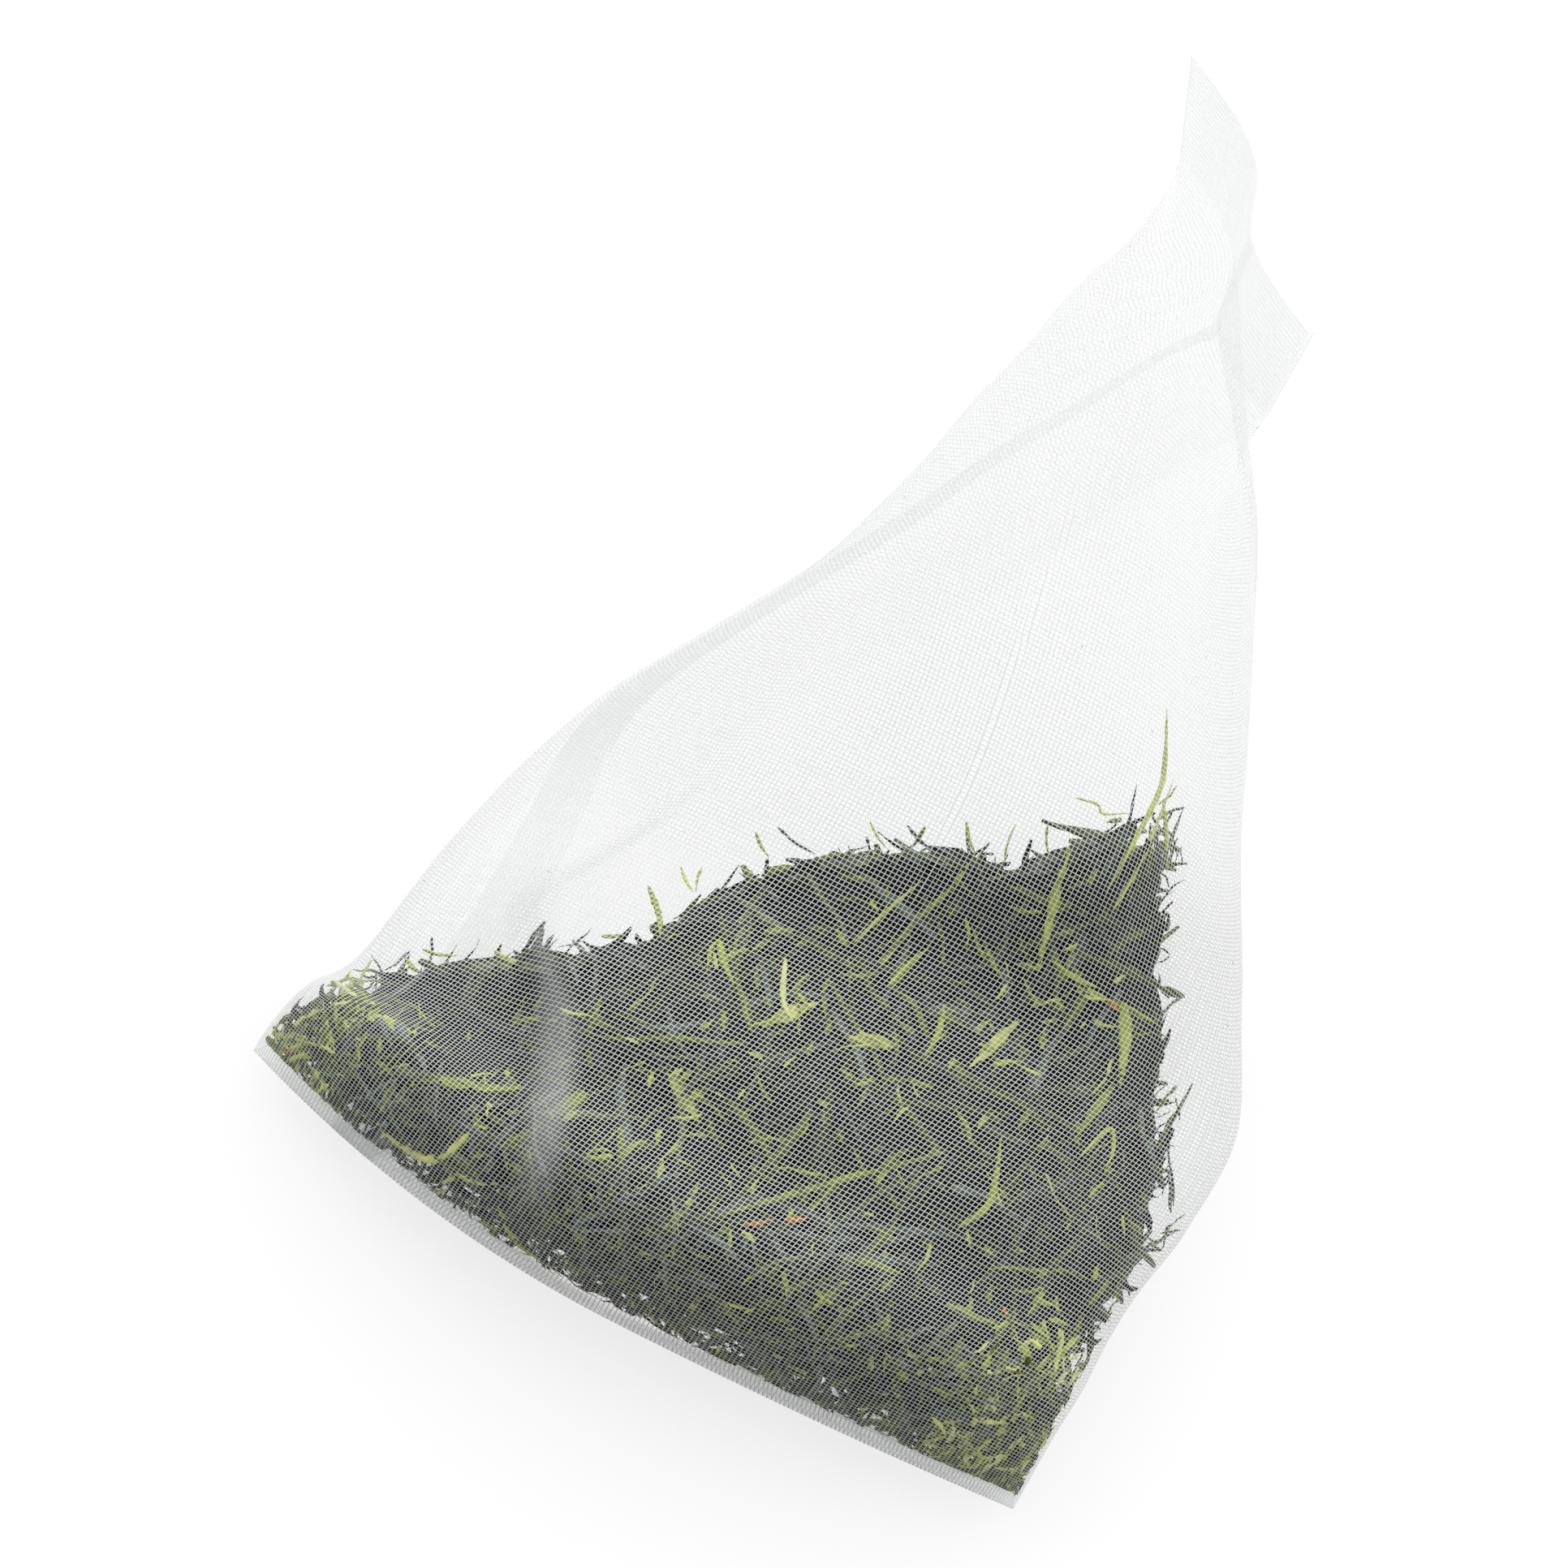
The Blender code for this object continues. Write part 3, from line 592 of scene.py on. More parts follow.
def straight_leaf(name, length, width, thickness, bow, twist, ragged, seed, finish):
    """A leaf along X at the origin, for laying many times."""
    rnd = random.Random(seed)
    t = np.linspace(-0.5, 0.5, 8)
    path = np.stack([t * length, bow * length * (0.25 - t**2) + length * 0.02 * np.sin(t * 9 + seed),
                     0.03 * length * np.sin(t * 7 + rnd.uniform(0, 6))], axis=-1)
    bm = bmesh.new()
    rod(bm, path, [np.array([0, 0, 1.0])] * 8, width, thickness, twist, 5, ragged, seed)
    bm.verts.layers.float.remove(bm.verts.layers.float["leaf_tint"])
    bmesh.ops.recalc_face_normals(bm, faces=bm.faces)
    mesh = bpy.data.meshes.new(name)
    bm.to_mesh(mesh)
    bm.free()
    mesh.materials.append(finish)
    return bpy.data.objects.new(name, mesh)


# %% Shapes of rolled leaves and of flakes: length, width, thickness (mm), bow, twist, raggedness
ROLLED = ((6.5, 0.75, 0.55, 0.12, 3, 0.2), (8, 0.6, 0.5, -0.2, 5, 0.15),
          (5, 0.9, 0.6, 0.3, 2, 0.25), (7.2, 1, 0.5, 0.08, 2.5, 0.25),
          (4.2, 0.7, 0.55, -0.35, 1.5, 0.3), (10.5, 0.55, 0.45, 0.1, 6, 0.15),
          (5.8, 1.3, 0.35, 0.15, 1.2, 0.3))
FLAKES = ((1.7, 0.5, 0.15, 0.1, 0.6, 0.35), (2.3, 0.38, 0.2, 0.2, 1.5, 0.25),
          (1.2, 0.6, 0.12, 0, 0.5, 0.4), (2.8, 0.3, 0.18, -0.15, 3, 0.2),
          (0.9, 0.45, 0.2, 0.1, 0.8, 0.4), (1.9, 0.34, 0.18, -0.3, 1, 0.2))


def leaf_shapes(kind, rows, first_seed, finish):
    made = bpy.data.collections.new(kind + " shapes")
    for number, (length, width, thickness, *form) in enumerate(rows):
        made.objects.link(straight_leaf(f"{kind}_{number}", length * MM, width * MM, thickness * MM,
                                        *form, number + first_seed, finish))
    return made


rolled = leaf_shapes("rolled", ROLLED, 0, LEAF)
flakes = leaf_shapes("flake", FLAKES, 20, PALE)


# %% [markdown]
# ## Beds for the leaves
#
# The leaves lie on beds: the heap's own surface, and further surfaces of the rule at small depths
# under the gauze, cut to the heap's outline. Geometry Nodes scatter the shapes over a bed, turned
# at random in its plane and tipped a little. The same tree lays every bed, with other inputs.

# %% Beds
UP = np.array([0, math.cos(PANEL_RISE), math.sin(PANEL_RISE)])
OUT = np.array([0, -math.sin(PANEL_RISE), math.cos(PANEL_RISE)])


def in_heap(point, inset=0.0):
    """Whether a point in the sections' frame lies under the heap's outline, inset by that share."""
    uneven = noise.noise(Vector(point) / (1.8 * MM))
    across, rise = point[0] / HALF + 0.03 * uneven, point @ UP / FACE + 0.03 * uneven
    edge = np.array(HEAP_EDGE)
    inside = False
    for (xa, ya), (xb, yb) in zip(edge, np.roll(edge, -1, axis=0)):
        if (ya > rise + inset) != (yb > rise + inset):
            if across < (xb - xa) * (rise + inset - ya) / (yb - ya) + xa - inset:
                inside = not inside
    return inside or (rise + inset < 0.05 and -0.9 < across + inset < 0.91)


def bed(name, depth, wanted, low=0.02, high=0.62, rows=46, columns=90):
    """A surface of the rule at a depth under the gauze, cut to the points that are wanted."""
    bm = bmesh.new()
    even = np.linspace(0, 1, columns, endpoint=False)
    grid = []
    for share in np.linspace(low, high, rows):
        points = ring(share, -depth, even, 0.2 * MM + depth)
        grid.append([(bm.verts.new(p - CENTRE), wanted(p)) for p in points])
    for first, second in zip(grid, grid[1:]):
        for i in range(columns):
            k = (i + 1) % columns
            corners = (first[i], first[k], second[k], second[i])
            if all(kept for _, kept in corners):
                bm.faces.new([v for v, _ in corners])
    bmesh.ops.delete(bm, geom=[v for v in bm.verts if not v.link_faces], context="VERTS")
    return add_object(name, bm)


def heap_bed():
    """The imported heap's surface, drawn in a little."""
    bm = welded_copy("leaf_heap")
    bm.normal_update()
    moved = [v.co - v.normal * 0.5 * MM for v in bm.verts]
    for vert, co in zip(bm.verts, moved):
        vert.co = co
    return add_object("bed_heap", bm)


# %% The tree that scatters leaves over a bed
def scatter_tree():
    tree = bpy.data.node_groups.new("scatter leaves", "GeometryNodeTree")
    face = tree.interface
    face.new_socket("Geometry", in_out="OUTPUT", socket_type="NodeSocketGeometry")
    face.new_socket("Geometry", in_out="INPUT", socket_type="NodeSocketGeometry")
    for name, kind in (("Shapes", "Collection"), ("Per square metre", "Float"), ("Smallest", "Float"),
                       ("Largest", "Float"), ("Tip", "Float"), ("Tint low", "Float"),
                       ("Tint high", "Float"), ("Seed", "Int"), ("Finish", "Material")):
        face.new_socket(name, in_out="INPUT", socket_type="NodeSocket" + kind)
    r = Recipe(tree)
    entry = tree.nodes.new("NodeGroupInput")
    given = {s.name: Value(r, s) for s in entry.outputs if s.name}
    points = r.add("GeometryNodeDistributePointsOnFaces", {"distribute_method": "RANDOM"},
                   Mesh=given["Geometry"], Density=given["Per square metre"], Seed=given["Seed"])
    lie = Value(r, points.socket.node.outputs["Rotation"])
    tip = given["Tip"]
    low = r.add("ShaderNodeCombineXYZ", None, tip * -1, tip * -1, -math.pi)
    high = r.add("ShaderNodeCombineXYZ", None, tip, tip, math.pi)
    spin = r.add("FunctionNodeRandomValue", {"data_type": "FLOAT_VECTOR"}, Min=low, Max=high,
                 Seed=given["Seed"] + 1)
    turn = r.add("FunctionNodeEulerToRotation", None, spin)
    lie = r.add("FunctionNodeRotateRotation", {"rotation_space": "LOCAL"}, lie, turn)
    size = r.add("FunctionNodeRandomValue", {"data_type": "FLOAT"}, Min=given["Smallest"],
                 Max=given["Largest"], Seed=given["Seed"] + 2)
    shapes = r.add("GeometryNodeCollectionInfo", None, Collection=given["Shapes"], Separate_Children=True,
                   Reset_Children=True)
    laid = r.add("GeometryNodeInstanceOnPoints", None, Points=points, Instance=shapes, Pick_Instance=True,
                 Rotation=lie, Scale=size)
    tint = r.add("FunctionNodeRandomValue", {"data_type": "FLOAT"}, Min=given["Tint low"],
                 Max=given["Tint high"], Seed=given["Seed"] + 3)
    marked = r.add("GeometryNodeStoreNamedAttribute", {"data_type": "FLOAT", "domain": "INSTANCE"}, laid,
                   Name="leaf_tint", Value=tint)
    real = r.add("GeometryNodeRealizeInstances", None, marked)
    done = r.add("GeometryNodeSetMaterial", None, real, Material=given["Finish"])
    leave = tree.nodes.new("NodeGroupOutput")
    tree.links.new(done.socket, leave.inputs["Geometry"])
    return tree


SCATTER = scatter_tree()


def scatter(base, shapes, finish, density, sizes, tip, tints, seed):
    """Lays shapes over a bed with the tree and gives the laid leaves back as a plain mesh."""
    modifier = base.modifiers.new("scatter", "NODES")
    modifier.node_group = SCATTER
    ids = {s.name: s.identifier for s in SCATTER.interface.items_tree if s.in_out == "INPUT"}
    values = {"Shapes": shapes, "Finish": finish, "Per square metre": float(density), "Tip": tip,
              "Smallest": sizes[0], "Largest": sizes[1], "Tint low": tints[0], "Tint high": tints[1],
              "Seed": seed}
    for name, value in values.items():
        modifier[ids[name]] = value
    laid = base.evaluated_get(bpy.context.evaluated_depsgraph_get())
    mesh = bpy.data.meshes.new_from_object(laid)
    base.modifiers.remove(modifier)
    print(base.name, "got", len(mesh.polygons), "faces of leaves")
    return mesh


# %% [markdown]
# ## Laying the leaves
#
# A straight leaf on a curved bed would stick out through the cloth. In the real bag the cloth holds
# it in. So every point of every leaf that lies outside the gauze is pressed back to just inside it.


# %% What the gauze holds in
def holding_surface(depth):
    """The rule's surface at a depth under the gauze, closed at both welds."""
    count = 160
    even = np.linspace(0, 1, count, endpoint=False)
    rows = [ring(s, -depth, even, 0.1 * MM + depth) - CENTRE for s in np.linspace(0.004, 0.995, 150)]
    verts = [tuple(p) for row in rows for p in row]
    faces = []
    for i in range(len(rows) - 1):
        for j in range(count):
            k = (j + 1) % count
            faces.append((i * count + j, i * count + k, (i + 1) * count + k, (i + 1) * count + j))
    last = (len(rows) - 1) * count
    for j in range(count // 2):
        faces.append((j, (count - j) % count, count - j - 1, j + 1))
        a = [(count // 4 + step) % count for step in (j, -j, -j - 1, j + 1)]
        faces.append(tuple(last + i for i in a))
    return BVHTree.FromPolygons(verts, [f for f in faces if len(set(f)) == 4])


HOLD = holding_surface(0.12 * MM)


def held(point):
    """Whether a point is inside: a ray from it then crosses the surface an odd number of times."""
    way = Vector((0.11, 0.07, 0.99))
    crossings, start = 0, Vector(point)
    while crossings < 8:
        hit = HOLD.ray_cast(start, way)[0]
        if hit is None:
            break
        crossings += 1
        start = hit + way * 1e-6
    return crossings % 2 == 1


def press_inside(mesh):
    """Moves points that lie outside the holding surface back to just inside it."""
    pressed = 0
    for vert in mesh.vertices:
        if not held(vert.co):
            spot = HOLD.find_nearest(vert.co)[0]
            vert.co = spot + (spot - vert.co).normalized() * 0.02 * MM
            pressed += 1
    return pressed


# %% Leaves over the heap and under the front panel
LEAF_POINTS = 40          # points of one laid leaf
CORNER_SHARE = 0.66       # share of the half width beyond which the corners' bed lies


def keep_in_heap(bm, spare):
    """Removes leaves that reach out of the heap's outline, past a random allowance of up to spare."""
    rnd = random.Random(5)
    bm.verts.ensure_lookup_table()
    gone = []
    for first in range(0, len(bm.verts), LEAF_POINTS):
        ends = (bm.verts[first], bm.verts[first + LEAF_POINTS - 1])
        allowed = spare * rnd.random() ** 2
        if not all(in_heap(np.array(end.co) + CENTRE, -allowed) for end in ends):
            gone += bm.verts[first:first + LEAF_POINTS]
    bmesh.ops.delete(bm, geom=gone, context="VERTS")
    return len(gone) // LEAF_POINTS


def joined_meshes(name, meshes, finish, spare=None):
    bm = bmesh.new()
    for mesh in meshes:
        bm.from_mesh(mesh)
        bpy.data.meshes.remove(mesh)
    if spare is not None:
        print(name, "leaves left out at the edge:", keep_in_heap(bm, spare))
    for face in bm.faces:
        face.material_index = 0
        face.smooth = True
    return add_object(name, bm, finish)


print("packed middle pressed back:", press_inside(middle.data))
heap = heap_bed()
under = bed("bed_under", 1.4 * MM, lambda p: in_heap(p, 0.02))
close = bed("bed_close", 0.6 * MM, lambda p: in_heap(p, 0.02))
nose = bed("bed_nose", 0.5 * MM, lambda p: in_heap(p, -0.01), 0.004, 0.09)
corners = bed("bed_corners", 0.35 * MM,
              lambda p: in_heap(p, -0.01) and abs(p[0]) >= CORNER_SHARE * HALF, 0.004, 0.14)
border = bed("bed_border", 0.7 * MM, lambda p: in_heap(p, -0.014) and not in_heap(p, 0.02))
border_leaves = joined_meshes("border_leaves", [
    scatter(border, rolled, LEAF, 1600000, (0.16, 0.42), 0.3, (0.0, 0.78), 41)], LEAF)
rolled_leaves = joined_meshes("rolled_leaves", [
    scatter(heap, rolled, LEAF, 330000, (0.7, 1.15), 0.25, (0.0, 0.76), 3),
    scatter(under, rolled, LEAF, 170000, (0.55, 1.05), 0.15, (0.0, 0.84), 11),
    scatter(nose, rolled, LEAF, 1200000, (0.35, 0.75), 0.1, (0.0, 0.7), 17)], LEAF, 0.075)
light_leaves = joined_meshes("light_flakes", [
    scatter(close, flakes, PALE, 460000, (0.45, 1.1), 0.15, (0.62, 0.9), 23),
    scatter(nose, flakes, PALE, 600000, (0.4, 1.0), 0.15, (0.6, 0.93), 29),
    scatter(corners, flakes, PALE, 3000000, (0.45, 1.2), 0.2, (0.64, 0.95), 37)], PALE, 0.05)
for laid in (border_leaves, rolled_leaves, light_leaves):
    print(laid.name, "pressed back:", press_inside(laid.data), "of", len(laid.data.vertices), "points")
for base in (heap, under, close, nose, corners, border):
    bpy.data.objects.remove(base)

# %% [markdown]
# ## Leaves that can be told apart
#
# Some leaves stand out: a long pale stalk, flakes like chips of straw, a rod in the left pocket, the
# tuft that points up at the right and thin needles that stand out of the heap. Each is laid as a line
# of listed places across and up the front panel in millimetres, just under the gauze.


# %% A layer to lay them on
class Layer:
    """A surface at a depth under the front panel, read at millimetres across and up the panel."""

    def __init__(self, depth):
        self.across = np.linspace(-25, 26, 103)
        self.rise = np.linspace(-3, 60, 127)
        even = np.linspace(0, 0.5, 121)
        strips = []
        for share in np.linspace(0.004, 0.96, 120):
            strip = ring(share, -depth, even, 0.2 * MM + depth)
            x = np.maximum.accumulate(strip[:, 0])
            strips.append([np.interp(self.across * MM, x, strip[:, k]) for k in (1, 2)])
        strips = np.array(strips)
        self.grid = np.zeros((len(self.across), len(self.rise), 3))
        for i, across in enumerate(self.across):
            y, z = strips[:, 0, i], strips[:, 1, i]
            height = np.maximum.accumulate(y * UP[1] + z * UP[2])
            self.grid[i, :, 0] = across * MM
            self.grid[i, :, 1] = np.interp(self.rise * MM, height, y)
            self.grid[i, :, 2] = np.interp(self.rise * MM, height, z)

    def point(self, across, rise):
        i = np.clip((across - self.across[0]) / 0.5, 0, len(self.across) - 1.001)
        j = np.clip((rise - self.rise[0]) / 0.5, 0, len(self.rise) - 1.001)
        a, b, u, v = int(i), int(j), i - int(i), j - int(j)
        near = self.grid[a, b] * (1 - v) + self.grid[a, b + 1] * v
        far = self.grid[a + 1, b] * (1 - v) + self.grid[a + 1, b + 1] * v
        return near * (1 - u) + far * u - CENTRE


LAYER = Layer(0.55 * MM)

# %% The leaves that stand out: width, thickness, colour number and places (across, up)
TOLD_APART = (
    (0.6, 0.5, 1, (16.2, 25.1), (17, 24.8)), (0.7, 0.4, 0.94, (-0.3, 19.2), (0.6, 17.2), (1.6, 16.4)),
    (1.5, 0.4, 0.85, (17, 25.3), (18, 23.6), (18.9, 21.2)),
    (0.8, 0.5, 0.83, (0.3, 3.2), (0.9, 5), (1, 6.6)), (0.5, 0.4, 1, (3.9, 5.6), (5.4, 6.7)),
    (0.5, 0.4, 1, (5.9, 6.9), (7, 7.5)), (0.5, 0.4, 1, (18.5, 7.9), (19.5, 7.4)),
    (1.1, 0.9, 0.92, (-15.8, 1.4), (-13.9, 0.9), (-12.2, 1.1), (-11.3, 2.6), (-10.9, 4.4)),
    (1.4, 0.6, 0.93, (-22.3, 3.4), (-20.6, 3.8), (-18.9, 3.7)), (0.5, 0.4, 1, (-22, 2.4), (-21.4, 3)),
    (0.9, 0.6, 0.86, (-8, 0.6), (-6.5, -0.6), (-4.4, -1.4), (-2.4, -1.6)),
    (0.45, 0.4, 0.97, (18.4, -0.6), (18.8, 0.4), (19.6, 0.7), (20.4, 0.2)),
    (2.3, 0.7, 0.92, (19.7, 2), (20.7, 2.4), (21.7, 2.6)), (0.8, 0.5, 0.92, (20.2, -1), (21, 1), (22, 3.4)),
    (0.7, 0.5, 0.95, (21.3, -1.2), (22.2, 1), (22.9, 3.6)),
    (0.9, 0.5, 0.86, (22.3, -1.4), (23.1, 0.4), (23.7, 2.4)),
    (0.6, 0.5, 0.9, (19.2, -0.9), (20, 0.6), (20.3, 1.6)),
    (0.3, 0.25, 0.88, (9.6, 33.9), (10.8, 34.1), (11.3, 33.8), (12.6, 34.5)),
    (0.6, 0.5, 0.9, (13.4, 30), (13.5, 35.8), (13, 37.8), (11.8, 40.3)),
    (0.5, 0.4, 0.92, (14.2, 29.5), (14.3, 33), (13.9, 37.2)),
    (0.5, 0.4, 0.2, (12.6, 29), (12.9, 33), (12.2, 36)),
    (0.6, 0.5, 0.3, (15.2, 29), (15.4, 32.5), (15.1, 36.2)),
    (0.5, 0.4, 0.9, (13.9, 35.9), (14.9, 34.4), (15.9, 32.6)),
    (1.3, 0.8, 0.1, (13.2, 28.5), (13.9, 31.5), (14.3, 34)),
    (1.2, 0.8, 0.15, (14.9, 28), (15.4, 31), (15.1, 33.5)),
    (1.1, 0.7, 0.12, (12.2, 28), (12.8, 30.5), (13.3, 33)),
    (0.45, 0.4, 0.88, (2.6, 21.6), (3.4, 23.9), (4.35, 26.3)),
    (0.7, 0.5, 0.84, (5.3, 20.4), (5.7, 21.8), (6.3, 23.2)),
    (0.9, 0.5, 0.84, (-3.9, 18.5), (-3.2, 17.6), (-2.1, 16.7)), (0.6, 0.4, 0.8, (8.9, 24.8), (10.6, 23.5)),
    (0.7, 0.5, 0.82, (8.4, 20.9), (8.8, 19.4), (8.7, 17.8)),
    (0.6, 0.5, 0.84, (12.5, 25.6), (14, 25.3), (15.5, 25.4)), (0.7, 0.5, 0.9, (-10.6, 1), (-8.5, 1.6)),
    (0.8, 0.6, 0.83, (14.4, 10.6), (15.3, 12.3), (15, 14), (14.3, 16)),
    (0.8, 0.6, 0.72, (11.4, 9.2), (10.7, 6.7)),
    (0.5, 0.4, 0.87, (18.6, 16.8), (19.4, 18.9), (20.1, 18), (20.2, 16.7)),
    (0.5, 0.4, 0.86, (3.9, 1.5), (6.5, 1.8)), (0.9, 0.6, 0.72, (0.5, 11.1), (2.6, 10.2), (4.7, 8.8)),
    (1, 0.5, 0.7, (4.6, 12.7), (4.3, 10.4), (3.5, 8.2)), (0.5, 0.4, 0.84, (22, 6.8), (21.6, 4.6)),
    (0.7, 0.5, 0.85, (23, 8.3), (22.5, 6.6)), (0.6, 0.4, 0.84, (19.8, 9.1), (21, 9.2)),
    (0.5, 0.4, 0.9, (14.4, 0.9), (15.5, 1.2)), (0.9, 0.5, 0.74, (9.6, 6.4), (11.2, 6.9), (12.9, 7.1)),
)
# Thin needles that stand out of the heap's upper edge: width, colour number and places
NEEDLES = (
    (0.35, 0.2, (-3.9, 25.3), (-1.4, 24.9)), (0.3, 0.86, (0.4, 27.8), (1.9, 26.9)),
    (0.4, 0.2, (2.3, 28.5), (4.3, 27.9)), (0.45, 0.82, (5, 30.1), (6.2, 28.8)),
    (0.25, 0.85, (7.4, 31.2), (7.9, 28.8)), (0.3, 0.8, (8.9, 32), (9.8, 30.4)),
    (0.7, 0.84, (-8.6, 19.3), (-7.4, 18.2), (-6.8, 17.2)), (0.35, 0.88, (-7.5, 21), (-6.3, 20.1)),
    (0.3, 0.85, (-6.5, 21.5), (-6.2, 20.2)), (0.35, 0.82, (-4.8, 24.5), (-3.5, 23.6)),
    (0.35, 0.84, (-17.9, 10.7), (-16, 11.3)), (0.5, 0.88, (-14.4, 12.4), (-12.6, 12.5)),
    (0.4, 0.93, (-20.9, 7.9), (-19.3, 6.3)), (0.3, 0.84, (-20.1, 8.9), (-20, 7)),
    (0.35, 0.95, (-22.8, 3.8), (-22, 2.7)), (0.7, 0.75, (-23.3, 1.6), (-21.6, 1.7)),
    (0.5, 0.82, (-18.6, 9.9), (-17.2, 9.5)), (0.5, 0.3, (-10.9, 14.9), (-9.2, 14.6)),
    (0.45, 0.84, (-9.6, 15.8), (-8.6, 16.4)), (0.4, 0.25, (10.6, 31.6), (11.6, 32.6)),
)


def smooth_line(places, count):
    """count points along a curve through the places."""
    places = np.array(places, float)
    if len(places) == 2:
        middle = places.mean(0) + 0.06 * (places[1] - places[0])[::-1] * (1, -1)
        places = np.array([places[0], middle, places[1]])
    at = np.linspace(0, len(places) - 1, count)
    i = np.minimum(at.astype(int), len(places) - 2)
    return between((at - i)[:, None], places, np.gradient(places, axis=0), i)


SLENDER = 0.7             # share of the listed widths and thicknesses that the leaves are laid with


def lay_by_hand():
    bm = bmesh.new()
    rows = [(w, t, c, *p) for w, t, c, *p in TOLD_APART] + [(w, w * 0.8, c, *p) for w, c, *p in NEEDLES]
    for number, (width, thickness, tint, *places) in enumerate(rows):
        count = 6 + 4 * len(places)
        path = np.array([LAYER.point(*spot) for spot in smooth_line(places, count)])
        rod(bm, path, [OUT] * count, width * SLENDER * MM, thickness * SLENDER * MM, 0.8, 7, 0.2,
            number, tint)
    bmesh.ops.recalc_face_normals(bm, faces=bm.faces)
    made = add_object("leaves_laid_by_hand", bm, PALE)
    print("laid by hand:", len(rows), "leaves; pressed back:", press_inside(made.data))
    return made


by_hand = lay_by_hand()

# %% [markdown]
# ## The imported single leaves
#
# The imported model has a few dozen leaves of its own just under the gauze. Each is plain and blunt, so
# in its place it is made finer, slimmer towards its ends and rough, with a colour number of its own.
# The two standing leaves are moved down the panel and inwards, into the tuft.


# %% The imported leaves, made finer
PACKED_LEAVES = sorted(n for n in frame["nodes"] if n not in ("mesh_bag", "leaf_heap"))
TO_TUFT = -UP * 9 * MM - OUT * 1.5 * MM
SHADES = {"long_stalk": 0.78, "jointed_stalk": 0.82, "flake_1": 0.92, "flake_2": 0.88, "flake_3": 0.87,
          "flake_4": 0.92, "flake_5": 0.78, "flake_6": 0.88, "pocket_rod": 0.8, "pocket_flake": 0.9,
          "standing_leaf": 0.86, "standing_leaf_short": 0.8}


def refined_leaves():
    whole = bmesh.new()
    tint = whole.verts.layers.float.new("leaf_tint")
    for number, node in enumerate(PACKED_LEAVES):
        rnd = random.Random(number)
        bm = welded_copy(node)
        pale = "flake" in node or "stalk" in node or node in ("pocket_rod", "corner_leaf")
        bmesh.ops.subdivide_edges(bm, edges=bm.edges, cuts=2, smooth=0.4, use_grid_fill=True)
        bm.normal_update()
        spots = np.array([v.co for v in bm.verts])
        heart = spots.mean(0)
        axis = np.linalg.svd(spots - heart)[2][0]
        along = (spots - heart) @ axis
        span = np.abs(along).max()
        slim = 0.2 + 0.32 * (1 - (np.abs(along) / span) ** 1.5)
        slim *= 0.6 if "stalk" in node else 1
        ends = [heart + axis * way + CENTRE for way in (along.min(), along.max())]
        reach = 0.75 if "flake" in node or not all(in_heap(end) for end in ends) else 1
        shift = TO_TUFT if "standing" in node else 0
        for vert, spot, way, share in zip(bm.verts, spots, along, slim):
            line = heart + axis * way
            vert.co = Vector(heart + shift + axis * way * reach + (spot - line) * share)
            p = vert.co / MM
            vert.co += vert.normal * (0.15 * noise.noise(p * 1.6) + 0.1 * noise.noise(p * 5)) * MM
            if pale:
                vert.co += Vector(OUT) * 0.45 * MM
        mesh = bpy.data.meshes.new("one")
        bm.to_mesh(mesh)
        bm.free()
        known = len(whole.verts)
        whole.from_mesh(mesh)
        bpy.data.meshes.remove(mesh)
        whole.verts.ensure_lookup_table()
        shade = SHADES.get(node, rnd.uniform(0.8, 0.9) if pale else rnd.uniform(0.05, 0.72))
        for vert in whole.verts[known:]:
            vert[tint] = shade
    for face in whole.faces:
        face.smooth = True
    made = add_object("packed_single_leaves", whole, LEAF)
    press_inside(made.data)
    print("packed single leaves:", len(PACKED_LEAVES), "with", len(made.data.polygons), "faces")
    return made


refined = refined_leaves()

# %% [markdown]
# ## Dust
#
# Crumbs of tea cling to the inside of the empty gauze above the heap. They are a last, thin scatter
# of tiny flakes on a bed close under the upper part of the cloth.


# %% Crumbs on the upper gauze
upper = bed("bed_upper", 0.2 * MM, lambda p: not in_heap(p), 0.1, 0.93, rows=40, columns=60)
crumbs = joined_meshes("crumbs", [
    scatter(upper, flakes, PALE, 9000, (0.06, 0.16), 0.2, (0.78, 0.95), 31)], PALE)
press_inside(crumbs.data)
bpy.data.objects.remove(upper)
for shapes in (rolled, flakes):
    for shape in list(shapes.objects):
        bpy.data.objects.remove(shape)
    bpy.data.collections.remove(shapes)

# %% [markdown]
# ## What rides on what
#
# Every piece belongs to the one body. The gauze stands for the imported web, and the leaves stand for
# the imported heap and its single leaves.

# %% Bodies, and the imported parts that the pieces stand for
for piece, slot, nodes in ((gauze, "web", ["mesh_bag"]), (middle, "heap", ["leaf_heap"]),
                           (rolled_leaves, "leaf", []), (border_leaves, "leaf", []),
                           (light_leaves, "flake", []), (by_hand, "stalk", []),
                           (refined, "leaf", PACKED_LEAVES), (crumbs, "flake", [])):
    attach(piece, "root")
    if nodes:
        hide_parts(*nodes)

# %% [markdown]
# ## Floor, light and camera
#
# The bag lies on a plain white floor in soft light that is stronger from above, with one large lamp
# high on the left to shape the folds and a weak one opposite. The camera looks down at the front
# panel from 60 degrees, and is rolled, because the bag lies askew in the frame.


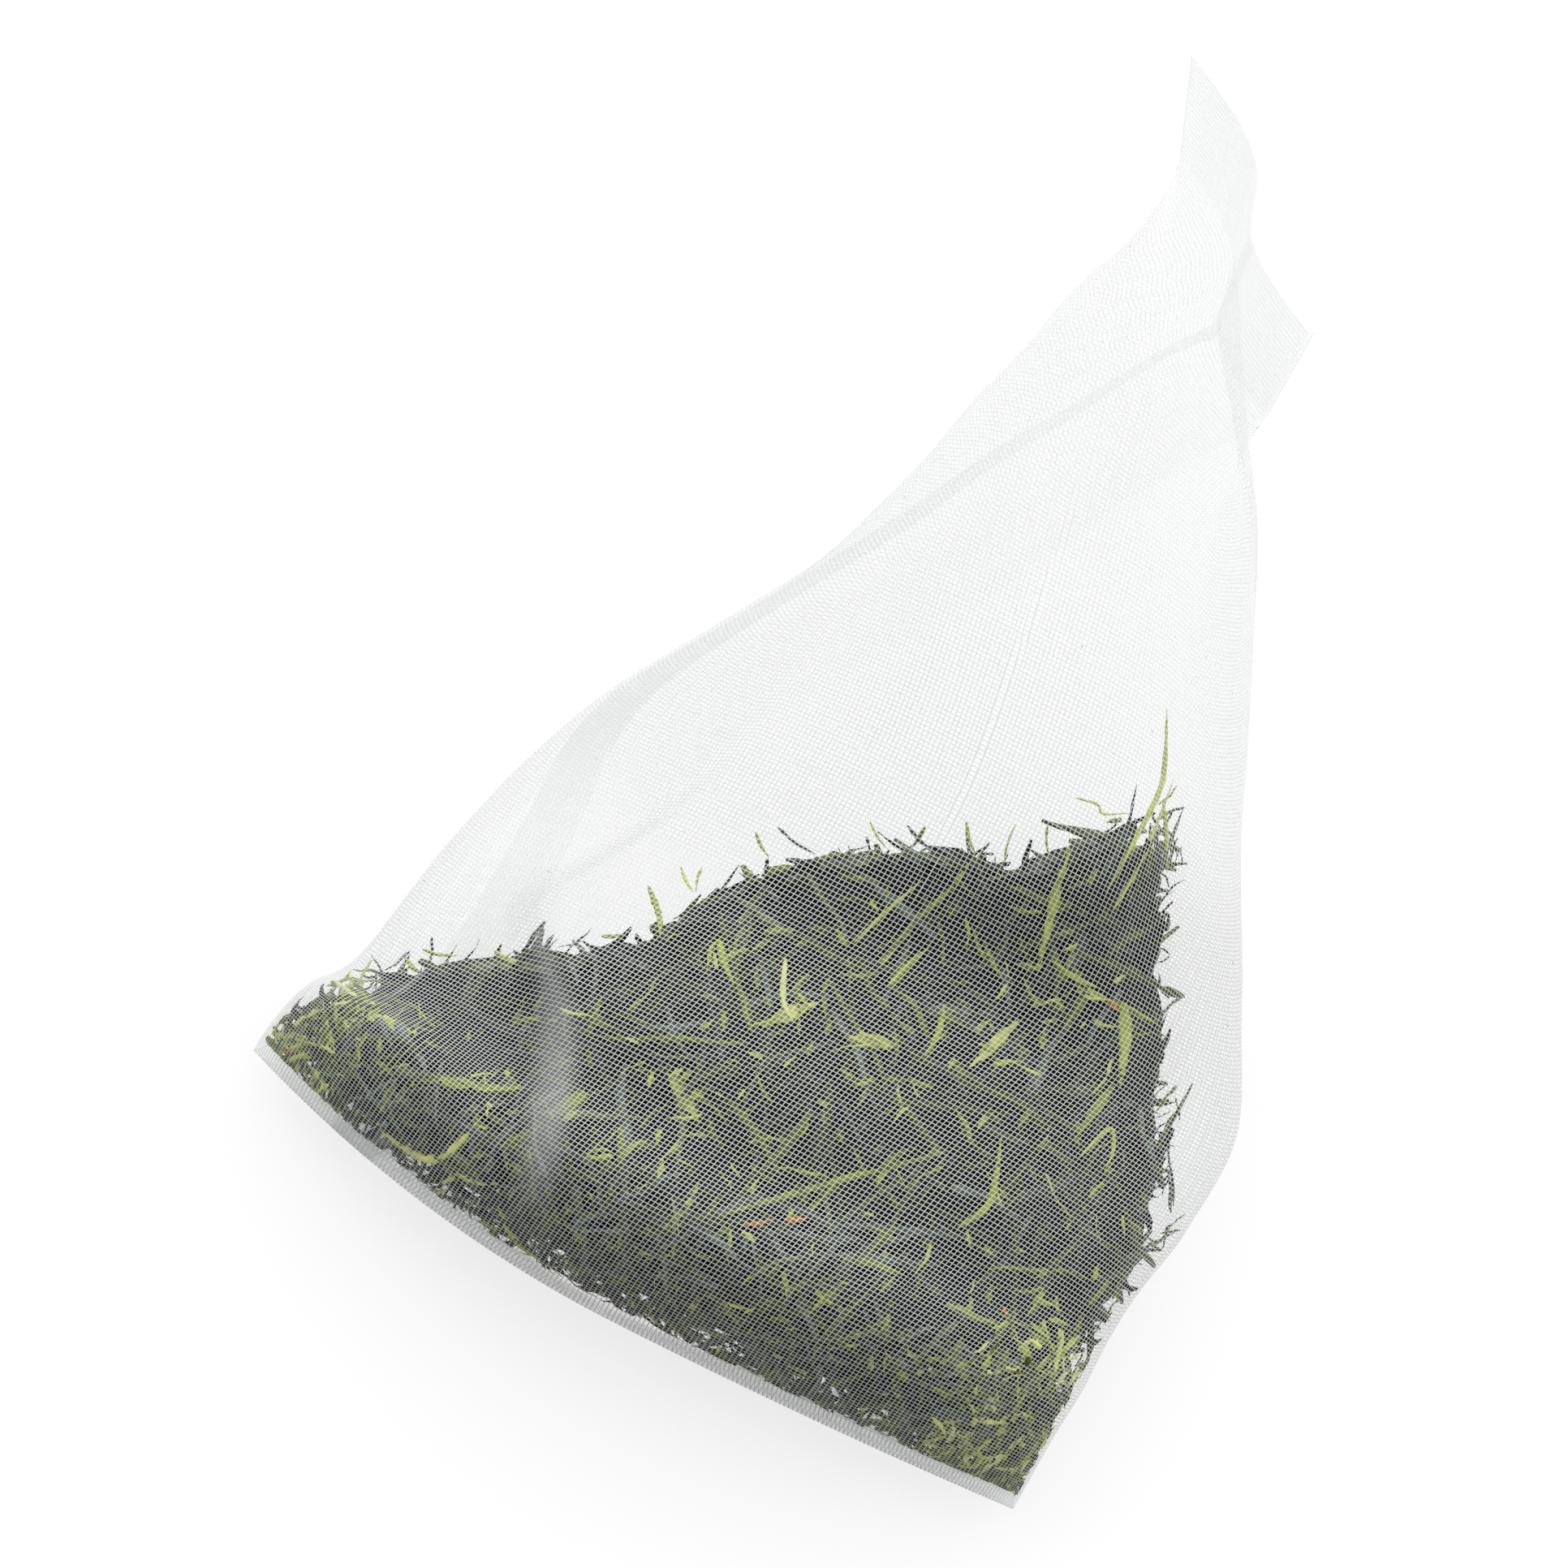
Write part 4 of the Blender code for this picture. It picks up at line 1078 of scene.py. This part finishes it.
# %% Floor
def floor_finish():
    made, r = new_material("white floor")
    seen = r.add("ShaderNodeLightPath", None, out="Is Camera Ray")
    mirrored = r.add("ShaderNodeLightPath", None, out="Is Glossy Ray")
    through = r.add("ShaderNodeLightPath", None, out="Is Transmission Ray")
    direct = seen.maths("MAXIMUM", mirrored).maths("MAXIMUM", through)
    plain = r.add("ShaderNodeBsdfDiffuse", None, (0.4, 0.4, 0.4, 1))
    white = r.add("ShaderNodeBsdfDiffuse", None, (0.2, 0.2, 0.2, 1))
    lift = r.add("ShaderNodeEmission", None, (1, 1, 1, 1), 0.77)
    bright = r.add("ShaderNodeAddShader", None, white, lift)
    return finish_material(made, r, r.add("ShaderNodeMixShader", None, direct, plain, bright))


bm = bmesh.new()
bmesh.ops.create_grid(bm, x_segments=1, y_segments=1, size=1.5)
floor = add_object("floor", bm, floor_finish())
floor.location.z = -0.05 * MM

# %% Light
world = bpy.data.worlds.new("studio")
bpy.context.scene.world = world
world.use_nodes = True
world.node_tree.nodes.clear()
r = Recipe(world.node_tree)
seen = r.add("ShaderNodeLightPath", None, out="Is Camera Ray")
sky = r.add("ShaderNodeTexCoord", None, out="Generated")
above = r.add("ShaderNodeVectorMath", {"operation": "DOT_PRODUCT"}, sky, (-0.1, 0.6, 0.75), out="Value")
soft = r.add("ShaderNodeBackground", None, (0.99, 0.995, 1.0, 1), 0.1 + above.smooth(-0.35, 0.95) * 1.75)
white = r.add("ShaderNodeBackground", None, (1, 1, 1, 1), 1.0)
both = r.add("ShaderNodeMixShader", None, seen, soft, white)
out = world.node_tree.nodes.new("ShaderNodeOutputWorld")
world.node_tree.links.new(both.socket, out.inputs["Surface"])


def lamp(name, place_at, target, size, power):
    light = bpy.data.lights.new(name, "AREA")
    light.shape, light.size, light.energy = "SQUARE", size, power
    made = bpy.data.objects.new(name, light)
    made.location = place_at
    made.rotation_euler = (Vector(target) - Vector(place_at)).to_track_quat("-Z", "Y").to_euler()
    bpy.context.scene.collection.objects.link(made)
    return made


lamp("key", (-0.4, 0.15, 0.5), (0, 0, 0.015), 0.4, 0.25)
lamp("fill", (0.35, -0.1, 0.5), (0, 0, 0.015), 0.5, 0.15)

# %% Camera
ELEVATION = math.radians(60)
DISTANCE = 0.6
ROLL = (0.891, 0.454)     # cosine and sine of the camera's roll
across_view, up_view = Vector((1, 0, 0)), Vector((0, math.sin(ELEVATION), math.cos(ELEVATION)))
right = ROLL[0] * across_view + ROLL[1] * up_view
up = -ROLL[1] * across_view + ROLL[0] * up_view
back = Vector((0, -math.cos(ELEVATION), math.sin(ELEVATION)))
aim = Vector((-4.6 * MM, 23.8 * MM, 13.75 * MM)) - Vector(CENTRE)
data = bpy.data.cameras.new("camera")
data.sensor_width = 36
data.lens = 36 * DISTANCE / (85.1 * MM)
data.clip_start, data.clip_end = 0.05, 20
camera = bpy.data.objects.new("camera", data)
pose = Matrix((right.normalized(), up.normalized(), back)).transposed().to_4x4()
pose.translation = aim + DISTANCE * back
camera.matrix_world = pose
bpy.context.scene.collection.objects.link(camera)
bpy.context.scene.camera = camera
bpy.context.scene.view_settings.view_transform = "Standard"
